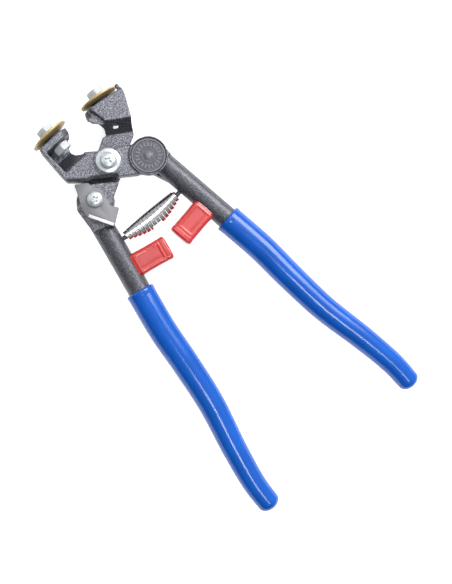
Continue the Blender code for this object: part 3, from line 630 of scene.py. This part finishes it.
# %% Stop plate's screw
PAN_HEAD = 2.9
STOP_SHANK = 2.4
low, high = reach("stop_plate_screw", STOP)
pan = high.x
under = high.z - PAN_HEAD
pan_rows = [
    (0.0, high.z),
    (pan * 0.5, high.z - 0.08),
    (pan * 0.78, high.z - 0.42),
    (pan * 0.93, high.z - 0.95),
    (pan, high.z - 1.6),
    (pan, under + 0.35),
    (pan - 0.25, under + 0.02),
    (STOP_SHANK, under),
    (STOP_SHANK, low.z),
    (0.0, low.z),
]
place_piece(
    "stop_screw_plated",
    punched(turned(pan_rows, 96), tapered_cross(4.6, 1.05, 1.9, high.z), -8.0),
    STOP,
    ZINC,
    "rear_lever",
    ["stop_plate_screw"],
)
print("pivot flange", round(2.0 * flange, 1), "mm; pan head", round(2.0 * pan, 1), "mm")

# %% [markdown]
# ## Cast levers
# A casting has no sharp edges: the sand mould rounds them and the enamel fills the
# corners. The imported solid is copied, small cast details are cut into it or added to it,
# and then it is rebuilt from small cubes and smoothed, which rounds every edge by
# about the same amount, as paint over a casting does. Last, each vertex gets a share of
# painted shade, more where the surface is steep.


# %% Rounding a casting
VOXEL = 0.42
SMOOTHING = 5
# The normal's share along Z where painted shade starts, and where it is full
FLAT_NORMAL, STEEP_NORMAL = 0.96, 0.7
MOST_PAINTED_SHADE = 0.6


def box_mesh(low, high):
    """A box between two corners in mm."""
    shape = bmesh.new()
    bmesh.ops.create_cube(shape, size=1.0)
    low, high = Vector(low) * MM, Vector(high) * MM
    bmesh.ops.scale(shape, verts=shape.verts, vec=high - low)
    bmesh.ops.translate(shape, verts=shape.verts, vec=(high + low) / 2.0)
    mesh = bpy.data.meshes.new("box")
    shape.to_mesh(mesh)
    shape.free()
    return mesh


def welded_copy(node):
    """A solid's mesh with its corners merged."""
    shape = bmesh.new()
    shape.from_mesh(SOLIDS[node].data)
    bmesh.ops.remove_doubles(shape, verts=shape.verts, dist=0.002 * MM)
    mesh = bpy.data.meshes.new(node)
    shape.to_mesh(mesh)
    shape.free()
    return mesh


def cast(mesh, cuts, additions):
    """A solid with cast details, rebuilt with rounded edges."""
    body = helper_object("casting", mesh)
    tools = []
    for operation, meshes in (("UNION", additions), ("DIFFERENCE", cuts)):
        for tool_mesh in meshes:
            tool = helper_object("core", tool_mesh)
            tools.append(tool)
            step = body.modifiers.new(tool.name, "BOOLEAN")
            step.operation = operation
            step.solver = "EXACT"
            step.object = tool
    remesh = body.modifiers.new("sand", "REMESH")
    remesh.mode = "VOXEL"
    remesh.voxel_size = VOXEL * MM
    smooth = body.modifiers.new("enamel", "SMOOTH")
    smooth.factor = 0.5
    smooth.iterations = SMOOTHING
    result = mesh_of(body)
    for tool in tools:
        bpy.data.objects.remove(tool, do_unlink=True)
    return result


# %% Painted shade on steep faces, and chamfers along cast edges
def with_painted_shade(mesh):
    """Stores how much painted shade each vertex gets, from 0 on the flat faces up."""
    values = mesh.attributes.new(PAINTED_SHADE_ATTRIBUTE, "FLOAT", "POINT").data
    for value, vertex in zip(values, mesh.vertices):
        steep = (FLAT_NORMAL - abs(vertex.normal.z)) / (FLAT_NORMAL - STEEP_NORMAL)
        value.value = MOST_PAINTED_SHADE * min(max(steep, 0.0), 1.0)
    return mesh


def moved(mesh, place):
    """The same mesh after a transform."""
    mesh.transform(place)
    return mesh


def edge_cuts(corners, height, leg, place):
    """Bars laid along the edges between corners, which cut a chamfer with this leg."""
    bars = []
    half = leg / math.sqrt(2.0)
    for first, second in zip(corners, corners[1:]):
        run = Vector((*second, height)) - Vector((*first, height))
        bar = box_mesh((-0.3, -half, -half), (run.length + 0.3, half, half))
        bar.transform(Matrix.Rotation(math.pi / 4.0, 4, "X"))
        bar.transform(run.to_track_quat("X", "Z").to_matrix().to_4x4())
        start = Matrix.Translation(Vector((*first, height)) * MM)
        bars.append(moved(bar, place @ start))
    return bars


# %% Levers as castings
# Height of the front casting's face, its lower edge, and the end of its nut pocket
FACE = 11.0
FRONT_LOWER_EDGE = ((-26.6, 5.9), (-17.2, -1.6), (-14.2, -2.1), (-1.5, -10.6))
FRONT_POCKET_END = ((-23.5, 11.5), (-8.0, 12.8))
# The rear casting's saddle slopes down to the tube at its end
REAR_BOSS_FACE = -8.5
REAR_SADDLE_END = ((20.8, -32.65), (34.6, -28.35))
# The lug that stands at the outer corner of the rear jaw's seat
LUG_ROWS = [(0.0, 2.3), (0.8, 2.3), (1.3, 1.8), (1.3, -3.0), (0.0, -3.0)]
LUG_PLACE = Matrix.Translation(Vector((-32.4, 30.2, -8.7)) * MM)
LUG_PLACE @= Matrix.Rotation(-math.pi / 2.0, 4, "X")

front_cuts = edge_cuts(FRONT_LOWER_EDGE, FACE, 2.0, LEVER["front"])
front_cuts += edge_cuts(FRONT_POCKET_END, FACE, 1.8, LEVER["front"])
rear_adds = [moved(turned(LUG_ROWS, 24), LEVER["rear"] @ LUG_PLACE)]
rear_cuts = edge_cuts(REAR_SADDLE_END, REAR_BOSS_FACE, 2.4, LEVER["rear"])
for side, cuts, additions in (("front", front_cuts, []), ("rear", rear_cuts, rear_adds)):
    arm = place_piece(
        f"{side}_casting_enamelled",
        with_painted_shade(cast(welded_copy(f"{side}_arm"), cuts, additions)),
        Matrix.Identity(4),
        CASTING,
        f"{side}_lever",
        [f"{side}_arm"],
        180.0,
    )
    print(arm.name, len(arm.data.polygons), "faces")

# %% [markdown]
# ## Medallions
# Each boss carries a round badge. Here it is a plain one: a rim, a ring of short bars and
# a small hub. The bars repeat round a circle, which is what Geometry Nodes do best, so
# one bar is placed on every point of a circle and turned to face its middle.


# %% Helpers for Geometry Nodes
def new_tree(name, sizes):
    """A Geometry Nodes tree with one named number input for each size."""
    tree = bpy.data.node_groups.new(name, "GeometryNodeTree")
    for key, kind, value in sizes:
        socket = tree.interface.new_socket(key, in_out="INPUT", socket_type=kind)
        socket.default_value = value
    tree.interface.new_socket("Mesh", in_out="OUTPUT", socket_type="NodeSocketGeometry")
    entry = add(tree, "NodeGroupInput")
    return tree, entry.outputs


def close_tree(tree, geometry, finish):
    """Ends a tree in Realize Instances and Set Material."""
    real = add(tree, "GeometryNodeRealizeInstances", {"Geometry": geometry})
    painted = add(
        tree,
        "GeometryNodeSetMaterial",
        {"Geometry": real.outputs["Geometry"], "Material": finish},
    )
    add(tree, "NodeGroupOutput", {"Mesh": painted.outputs["Geometry"]})


def grown(tree, **values):
    """The mesh that a tree makes with these inputs."""
    obj = helper_object(tree.name, bpy.data.meshes.new(tree.name))
    modifier = obj.modifiers.new("nodes", "NODES")
    modifier.node_group = tree
    for item in tree.interface.items_tree:
        if item.in_out == "INPUT" and item.name.replace(" ", "_") in values:
            modifier[item.identifier] = values[item.name.replace(" ", "_")]
    return mesh_of(obj)


# %% Ring of bars as Geometry Nodes
number, whole = "NodeSocketFloat", "NodeSocketInt"
BARS, pins = new_tree(
    "ring_of_bars",
    [
        ("count", whole, 20),
        ("radius", number, 6.6 * MM),
        ("length", number, 2.4 * MM),
        ("width", number, 1.0 * MM),
        ("height", number, 0.7 * MM),
    ],
)
circle = add(
    BARS, "GeometryNodeMeshCircle", {"Vertices": pins["count"], "Radius": pins["radius"]}
)
size = add(
    BARS, "ShaderNodeCombineXYZ", {"X": pins["length"], "Y": pins["width"], "Z": pins["height"]}
)
bar = add(BARS, "GeometryNodeMeshCube", {"Size": size.outputs["Vector"]})
spot = add(BARS, "GeometryNodeInputPosition")
facing = add(
    BARS, "FunctionNodeAlignRotationToVector", {"Vector": spot.outputs["Position"]}, axis="X"
)
bars = add(
    BARS,
    "GeometryNodeInstanceOnPoints",
    {
        "Points": circle.outputs["Mesh"],
        "Instance": bar.outputs["Mesh"],
        "Rotation": facing.outputs["Rotation"],
    },
)
close_tree(BARS, bars.outputs["Instances"], BADGE)


# %% Medallions
for side in ("front", "rear"):
    low, high = reach(f"{side}_medallion", LEVER[side])
    centre = Vector(((low.x + high.x) / 2.0, (low.y + high.y) / 2.0, 0.0))
    edge, top = (high.x - low.x) / 2.0, high.z
    field = top - 0.35
    rows = [
        (0.0, field + 0.3),
        (1.3, field + 0.28),
        (1.9, field + 0.1),
        (2.1, field),
        (3.6, field),
        (3.75, field + 0.2),
        (4.1, field + 0.2),
        (4.25, field),
        (edge - 1.2, field),
        (edge - 0.95, top),
        (edge - 0.25, top),
        (edge, top - 0.25),
        (edge, low.z),
        (0.0, low.z),
    ]
    ring = grown(BARS)
    ring.transform(Matrix.Translation((0.0, 0.0, field * MM)))
    badge = place_piece(
        f"{side}_badge",
        joined(turned(rows, 96), ring),
        LEVER[side] @ Matrix.Translation(centre * MM),
        BADGE,
        f"{side}_lever",
        [f"{side}_medallion"],
    )
    print(badge.name, len(badge.data.polygons), "faces")

# %% [markdown]
# ## Handles
# The tubes leave the castings straight, then swing out and back in, so that the grips
# lie along the palm. Tube and grip follow the same line. The line is a smooth curve
# through a few points, and a round section is drawn along it with a radius at each point.
# The grip has a soft lip where the dipping stopped, and a rounded end.


# %% The line of a handle, in the front lever's frame
TUBE_OFFSET = 21.76
TUBE_SPLAY = math.radians(9.9)
TUBE_BEND = 80.0
STRAIGHT_STEPS = 6
LEAD = 24.0  # how far before the bend the curve takes its direction from
TUBE_TOP = 24.5
GRIP_START = 75.0
TUBE_RADIUS = 7.0
TUBE_END_RADIUS = 5.2
GRIP_WALL = 1.7
HANDLE_POINTS = (
    (39.0, -98.0),
    (41.3, -122.0),
    (44.9, -150.0),
    (51.7, -180.0),
    (55.9, -203.0),
    (56.7, -218.0),
)
FINE_STEPS = 24


def along_tube(distance):
    """A point by its distance along the tube's straight run."""
    out = Vector((math.cos(TUBE_SPLAY), math.sin(TUBE_SPLAY), 0.0))
    down = Vector((math.sin(TUBE_SPLAY), -math.cos(TUBE_SPLAY), 0.0))
    return out * TUBE_OFFSET + down * distance


def handle_line(start):
    """Points from a distance on the straight run to the handle's end."""
    knots = [along_tube(TUBE_BEND - LEAD), along_tube(TUBE_BEND)]
    knots += [Vector((x, y, 0.0)) for x, y in HANDLE_POINTS]
    stride = (TUBE_BEND - start) / STRAIGHT_STEPS
    line = [along_tube(start + stride * step) for step in range(STRAIGHT_STEPS + 1)]
    for index in range(1, len(knots) - 1):
        before, here, after = knots[index - 1 : index + 2]
        beyond = knots[min(index + 2, len(knots) - 1)]
        for step in range(1, FINE_STEPS + 1):
            t = step / FINE_STEPS
            point = 2.0 * here + (after - before) * t
            point += (2.0 * before - 5.0 * here + 4.0 * after - beyond) * t**2
            point += (3.0 * here - before - 3.0 * after + beyond) * t**3
            line.append(0.5 * point)
    return line


def tube_radius(point):
    """The tube tapers from its bend to its end."""
    bend, end = HANDLE_POINTS[0][1], HANDLE_POINTS[-1][1]
    share = min(max((point.y - bend) / (end - bend), 0.0), 1.0)
    return TUBE_RADIUS + (TUBE_END_RADIUS - TUBE_RADIUS) * share**1.5


# %% Tubes and grips
def swept(points, radii, facets=96):
    """A closed round bar along points, with a radius at each of them."""
    shape = bmesh.new()
    rings = []
    for index, (point, radius) in enumerate(zip(points, radii)):
        before = points[max(index - 1, 0)]
        after = points[min(index + 1, len(points) - 1)]
        heading = (after - before).normalized()
        side = Vector((-heading.y, heading.x, 0.0))
        ring = []
        for step in range(facets):
            angle = 2.0 * math.pi * step / facets
            spoke = side * math.cos(angle) + Vector((0.0, 0.0, 1.0)) * math.sin(angle)
            ring.append(shape.verts.new((point + spoke * radius) * MM))
        rings.append(ring)
    for first, second in zip(rings, rings[1:]):
        for step in range(facets):
            following = (step + 1) % facets
            shape.faces.new((first[step], first[following], second[following], second[step]))
    shape.faces.new(rings[0])
    shape.faces.new(rings[-1])
    bmesh.ops.recalc_face_normals(shape, faces=shape.faces)
    mesh = bpy.data.meshes.new("swept")
    shape.to_mesh(mesh)
    shape.free()
    return mesh


# The grip's lip: distance along the tube and height above it
LIP = ((0.0, 0.15), (0.02, 0.7), (0.12, 1.2), (0.4, 1.62), (0.9, 1.85), (1.8, 1.9), (3.2, 1.75))
LIP_END = 4.0
DOME_DEGREES = (8, 16, 24, 32, 40, 48, 56, 64, 71, 77, 82, 86)
DOME_HEIGHT = 0.72  # over its radius

for side in ("front", "rear"):
    line = handle_line(TUBE_TOP)
    tube = place_piece(
        f"{side}_tube_enamelled",
        swept(line, [tube_radius(point) for point in line]),
        LEVER[side],
        TUBE,
        f"{side}_lever",
        [f"{side}_handle_tube"],
        60.0,
    )
    line = handle_line(GRIP_START + LIP_END)
    radii = [tube_radius(point) + GRIP_WALL for point in line]
    mouth = [along_tube(GRIP_START + distance) for distance, _ in LIP]
    mouth_radii = [TUBE_RADIUS + height for _, height in LIP]
    end, ahead = line[-1], (line[-1] - line[-2]).normalized()
    tip = radii[-1]
    for degrees in DOME_DEGREES:
        turn = math.radians(degrees)
        line.append(end + ahead * DOME_HEIGHT * tip * math.sin(turn))
        radii.append(tip * math.cos(turn))
    grip = place_piece(
        f"{side}_grip_dipped",
        swept(mouth + line, mouth_radii + radii),
        LEVER[side],
        GRIP,
        f"{side}_lever",
        [f"{side}_grip"],
        75.0,
    )
    print(tube.name, grip.name, len(grip.data.polygons), "faces")

# %% [markdown]
# ## Bumpers
# A soft cap is pushed over a steel lug on each tube. Its section is a rounded rectangle
# that changes along the cap: drawn in at the tube, slightly waisted in the middle, full at
# the end with a moulded lip. The broad faces have a shallow sunk panel. The cap is drawn as
# a grid of sections, and the panel is pushed in where both of its masks overlap.


# %% Bumper shape
BUMPER_TOP = 53.3
BUMPER_LENGTH = 15.2
BUMPER_DEPTH = 12.0
BUMPER_MOUTH = 3.0
BUMPER_REACH = 28.0
SQUARENESS = 0.34  # power on the section's sine and cosine; 1 would be round
# The rest are shares of the cap's length or of its section
MOUTH_SCALE, MOUTH_SPAN = 0.86, 0.16
END_DROP, END_SPAN = 0.24, 0.06
WAIST = 0.05
GROOVES = ((0.83, 0.85, 0.022), (0.1, 0.12, 0.02))
GROOVE_SOFT = 0.02
PANEL_ALONG = (0.2, 0.74, 0.07)
PANEL_ACROSS = (-0.5, 0.5, 0.2)
PANEL_DEPTH = 0.28  # mm
PANEL_LEVEL = 0.3  # only the broad faces, beyond this share of the depth, are sunk


def smooth_step(low, high, value):
    """0 below low, 1 above high, and a soft rise between them."""
    share = min(max((value - low) / (high - low), 0.0), 1.0)
    return share * share * (3.0 - 2.0 * share)


def between(low, high, soft, value):
    """1 inside low to high, falling to 0 over soft outside of it."""
    return smooth_step(low - soft, low, value) * (1.0 - smooth_step(high, high + soft, value))


# %% Bumper mesh
def section_scale(share):
    """Size of the cap's section at a share of its length, apart from the waist."""
    end = 1.0
    if share > 1.0 - END_SPAN:
        over = (share - 1.0 + END_SPAN) / END_SPAN
        end -= END_DROP * (1.0 - math.sqrt(max(0.0, 1.0 - over**2)))
    mouth = MOUTH_SCALE + (1.0 - MOUTH_SCALE) * smooth_step(0.0, MOUTH_SPAN, share)
    grooves = [depth * between(low, high, GROOVE_SOFT, share) for low, high, depth in GROOVES]
    return end * mouth * (1.0 - sum(grooves))


def bumper_mesh(sections=110, around=112):
    """The cap along -X, with its length across Y and its depth along Z."""
    shape = bmesh.new()
    rings = []
    for index in range(sections + 1):
        share = index / sections
        travel = BUMPER_MOUTH + (BUMPER_REACH - BUMPER_MOUTH) * share
        scale = section_scale(share)
        waist = 1.0 - WAIST * math.sin(math.pi * share)
        ring = []
        for step in range(around):
            angle = 2.0 * math.pi * step / around
            cosine, sine = math.cos(angle), math.sin(angle)
            across = math.copysign(abs(cosine) ** SQUARENESS, cosine)
            up = math.copysign(abs(sine) ** SQUARENESS, sine)
            across *= BUMPER_LENGTH / 2.0 * scale * waist
            up *= BUMPER_DEPTH / 2.0 * scale
            if abs(up) > BUMPER_DEPTH * PANEL_LEVEL:
                sunk = between(*PANEL_ALONG, share)
                sunk *= between(*PANEL_ACROSS, across * 2.0 / BUMPER_LENGTH)
                up -= math.copysign(PANEL_DEPTH * sunk, up)
            ring.append(shape.verts.new(Vector((-travel, across, up)) * MM))
        rings.append(ring)
    for first, second in zip(rings, rings[1:]):
        for step in range(around):
            following = (step + 1) % around
            shape.faces.new((first[step], first[following], second[following], second[step]))
    for ring, travel in ((rings[0], BUMPER_MOUTH), (rings[-1], BUMPER_REACH)):
        middle = shape.verts.new(Vector((-travel, 0.0, 0.0)) * MM)
        for step in range(around):
            shape.faces.new((ring[step], ring[(step + 1) % around], middle))
    bmesh.ops.recalc_face_normals(shape, faces=shape.faces)
    mesh = bpy.data.meshes.new("bumper")
    shape.to_mesh(mesh)
    shape.free()
    return mesh


# %% Bumpers
for side in ("front", "rear"):
    middle = along_tube(BUMPER_TOP + BUMPER_LENGTH / 2.0)
    turn = Matrix.Rotation(TUBE_SPLAY, 4, "Z")
    place = LEVER[side] @ Matrix.Translation(middle * MM) @ turn
    cap = place_piece(
        f"{side}_bumper_moulded",
        bumper_mesh(),
        place,
        BUMPER,
        f"{side}_lever",
        [f"{side}_bumper"],
        50.0,
    )
    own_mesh(cap)
    print(cap.name, len(cap.data.polygons), "faces")

# %% [markdown]
# ## Return spring
# A barrel spring is a coil whose radius swells to its middle. This one is wound from flat
# steel strip, so each turn is a short band and the outline goes in steps. Its shape
# follows a rule, so a Geometry Nodes tree draws it: a straight strip is drawn first, and
# every point on it is then moved to its place on the coil. It sags a little towards the
# grips.

# %% Barrel coil as Geometry Nodes
STRIP_WIDTH, STRIP_THICKNESS = 2.4, 0.5
COIL, pins = new_tree(
    "barrel_coil",
    [
        ("turns", number, 14.0),
        ("points", whole, 1100),
        ("length", number, 38.0 * MM),
        ("end radius", number, 2.9 * MM),
        ("middle radius", number, 5.9 * MM),
        ("sag", number, 2.0 * MM),
        ("strip width", number, STRIP_WIDTH * MM),
        ("strip thickness", number, STRIP_THICKNESS * MM),
    ],
)


def worked(operation, first, second=0.0):
    """A sum on the coil's values."""
    return add(COIL, "ShaderNodeMath", {0: first, 1: second}, operation=operation).outputs[0]


straight = add(COIL, "GeometryNodeCurvePrimitiveLine", {"End": (1.0, 0.0, 0.0)})
fine = add(
    COIL,
    "GeometryNodeResampleCurve",
    {"Curve": straight.outputs["Curve"], "Count": pins["points"]},
)
section = add(
    COIL,
    "GeometryNodeCurvePrimitiveQuadrilateral",
    {"Width": pins["strip thickness"], "Height": pins["strip width"]},
)
strip = add(
    COIL,
    "GeometryNodeCurveToMesh",
    {
        "Curve": fine.outputs["Curve"],
        "Profile Curve": section.outputs["Curve"],
        "Fill Caps": True,
    },
)
where = add(COIL, "GeometryNodeInputPosition").outputs["Position"]
flat = add(COIL, "ShaderNodeSeparateXYZ", {"Vector": where}).outputs
share, outward, sideways = flat["X"], flat["Y"], flat["Z"]
belly = worked("SINE", worked("MULTIPLY", share, math.pi))
swell = worked("SUBTRACT", pins["middle radius"], pins["end radius"])
radius = worked("ADD", pins["end radius"], worked("MULTIPLY", swell, belly))
radius = worked("ADD", radius, outward)
angle = worked("MULTIPLY", worked("MULTIPLY", share, pins["turns"]), 2.0 * math.pi)
across = worked(
    "SUBTRACT",
    worked("MULTIPLY", radius, worked("COSINE", angle)),
    worked("MULTIPLY", belly, pins["sag"]),
)
deep = worked("MULTIPLY", radius, worked("SINE", angle))
travel = worked("MULTIPLY", worked("SUBTRACT", share, 0.5), pins["length"])
travel = worked("ADD", travel, sideways)
on_coil = add(COIL, "ShaderNodeCombineXYZ", {"X": travel, "Y": across, "Z": deep})
wound = add(
    COIL,
    "GeometryNodeSetPosition",
    {"Geometry": strip.outputs["Mesh"], "Position": on_coil.outputs["Vector"]},
)
close_tree(COIL, wound.outputs["Geometry"], CHROME)

# %% The spring between the tubes
SPRING_Y = -40.0
low, high = reach("return_spring", LEVER["front"])
coil_mesh = grown(
    COIL,
    length=(high.x - low.x - STRIP_WIDTH - 0.4) * MM,
    middle_radius=(high.z - STRIP_THICKNESS / 2.0 - 0.1) * MM,
)
spring = place_piece(
    "return_spring_coil",
    coil_mesh,
    Matrix.Translation(PIVOT + Vector((0.0, SPRING_Y, 0.0)) * MM),
    CHROME,
    None,
    ["return_spring"],
    40.0,
)
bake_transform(spring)
print(spring.name, len(spring.data.polygons), "faces")

# %% [markdown]
# ## Stop plate
# The plate is stamped from sheet and its finger tab is bent up, so all of its edges are
# slightly rolled over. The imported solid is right, so a copy of it gets a small bevel.


# %% Stop plate with rolled edges
ROLLED_EDGE = 0.22


def bevelled(mesh):
    """A mesh with its faces merged where they are flat and its edges rolled over."""
    shape = bmesh.new()
    shape.from_mesh(mesh)
    bmesh.ops.dissolve_limit(
        shape, angle_limit=math.radians(2.0), verts=shape.verts, edges=shape.edges
    )
    shape.to_mesh(mesh)
    shape.free()
    body = helper_object("sheet", mesh)
    edge = body.modifiers.new("rolled", "BEVEL")
    edge.width = ROLLED_EDGE * MM
    edge.segments = 2
    edge.limit_method = "ANGLE"
    edge.angle_limit = math.radians(40.0)
    return mesh_of(body)


place_piece(
    "stop_plate_pressed",
    bevelled(welded_copy("stop_plate")),
    Matrix.Identity(4),
    PLATE,
    "stop",
    ["stop_plate"],
    30.0,
)

# %% Solids that keep their own shape get a finish
for node, finish in (
    ("pivot_bush", ZINC),
    ("pivot_washer", ZINC),
    ("front_bumper_lug", TUBE),
    ("rear_bumper_lug", TUBE),
    ("front_spring_peg", TUBE),
    ("rear_spring_peg", TUBE),
):
    SOLIDS[node].data.materials.clear()
    SOLIDS[node].data.materials.append(finish)
print("solids left showing:", [n for n, o in SOLIDS.items() if not o.hide_render])

# %% [markdown]
# ## Floor, light and camera
# The tool lies on a plain pale floor under large soft lamps. The camera looks almost
# straight down on it from 0.6 m, turned so that the handles run to the lower right, with
# a long lens. All of it is set from the camera's own axes, so the light stays with it.

# %% Camera
VIEW_TURN = math.radians(39.9)
LEAN_X, LEAN_Y = math.radians(-0.81), math.radians(6.34)
VIEW_DISTANCE = 0.6
AIM = Vector((70.3, -76.8, 0.0)) * MM
lean = Vector((LEAN_X, LEAN_Y, 0.0))
to_camera = Matrix.Rotation(lean.length, 3, lean.normalized())
to_camera @= Matrix.Rotation(VIEW_TURN, 3, "Z")
from_camera = to_camera.transposed()
middle = Vector((0.0, 0.0, PIVOT.z))


def in_view(x, y, z):
    """A world point from metres right, up and towards the camera, from the aim point."""
    return middle + from_camera @ (AIM + Vector((x, y, z)))


camera_data = bpy.data.cameras.new("camera")
camera_data.sensor_fit = "HORIZONTAL"
camera_data.sensor_width = 36.0
camera_data.lens = 79.94
camera_data.clip_start = 0.01
camera = bpy.data.objects.new("camera", camera_data)
camera.matrix_world = Matrix.Translation(in_view(0.0, 0.0, VIEW_DISTANCE))
camera.matrix_world @= from_camera.to_4x4()
bpy.context.scene.collection.objects.link(camera)
bpy.context.scene.camera = camera
print("camera at", [round(value, 3) for value in camera.matrix_world.translation])

# %% Floor
floor_mesh = bpy.data.meshes.new("floor")
floor_shape = bmesh.new()
bmesh.ops.create_grid(floor_shape, x_segments=1, y_segments=1, size=3.0)
floor_shape.to_mesh(floor_mesh)
floor_shape.free()
paper, *_ = new_finish(
    "matt_white_paper",
    0.9,
    Base_Color=colour("#F6F6F6"),
    Emission_Color=colour("#FFFFFF"),
    Emission_Strength=0.7,
)
floor_mesh.materials.append(paper)
floor = bpy.data.objects.new("floor", floor_mesh)
bpy.context.scene.collection.objects.link(floor)
floor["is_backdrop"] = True


# %% Lamps
ALONG_HANDLES = Vector((0.66, -0.75, 0.0))


def soft_lamp(name, place, width, length, power):
    """A rectangular lamp that faces the tool, its length along the handles."""
    lamp = bpy.data.lights.new(name, "AREA")
    lamp.shape = "RECTANGLE"
    lamp.size, lamp.size_y = width, length
    lamp.energy = power
    obj = bpy.data.objects.new(name, lamp)
    back = (place - middle - from_camera @ AIM).normalized()
    side = (from_camera @ ALONG_HANDLES).cross(back).normalized()
    turn = Matrix((side, back.cross(side), back)).transposed().to_4x4()
    obj.matrix_world = Matrix.Translation(place) @ turn
    bpy.context.scene.collection.objects.link(obj)


soft_lamp("key", in_view(0.5, 0.55, 0.6), 0.5, 0.5, 9.0)
soft_lamp("fill", in_view(-0.8, 0.25, 0.8), 0.8, 0.8, 1.6)
soft_lamp("top", in_view(0.12, 0.45, 1.1), 0.6, 0.6, 3.0)
soft_lamp("strip", in_view(0.19, -0.25, 0.9), 0.18, 0.24, 2.2)

# The studio is white on the lamps' side and falls off to grey on the other
world = bpy.data.worlds.new("studio")
world.use_nodes = True
walls = world.node_tree
towards = add(walls, "ShaderNodeTexCoord").outputs["Generated"]
bright_side = (from_camera @ Vector((0.45, 0.8, 0.45))).normalized()
facing = add(
    walls, "ShaderNodeVectorMath", {0: towards, 1: bright_side}, operation="DOT_PRODUCT"
)
level = add(
    walls,
    "ShaderNodeMapRange",
    {"Value": facing.outputs["Value"], "From Min": -0.6, "To Min": 0.03, "To Max": 0.7},
)
walls.links.new(level.outputs["Result"], walls.nodes["Background"].inputs["Strength"])
walls.nodes["Background"].inputs["Color"].default_value = (1.0, 1.0, 1.0, 1.0)
bpy.context.scene.world = world
bpy.context.scene.view_settings.view_transform = "Standard"

# %% Compare the finished scene's size with the packed model
visual_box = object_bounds()
for corner, (visual, packed) in zip(("low", "high"), zip(visual_box, cad_box)):
    past = [round((mine - theirs) / MM, 2) for mine, theirs in zip(visual, packed)]
    print(corner, "corner, finished minus packed, mm:", past)
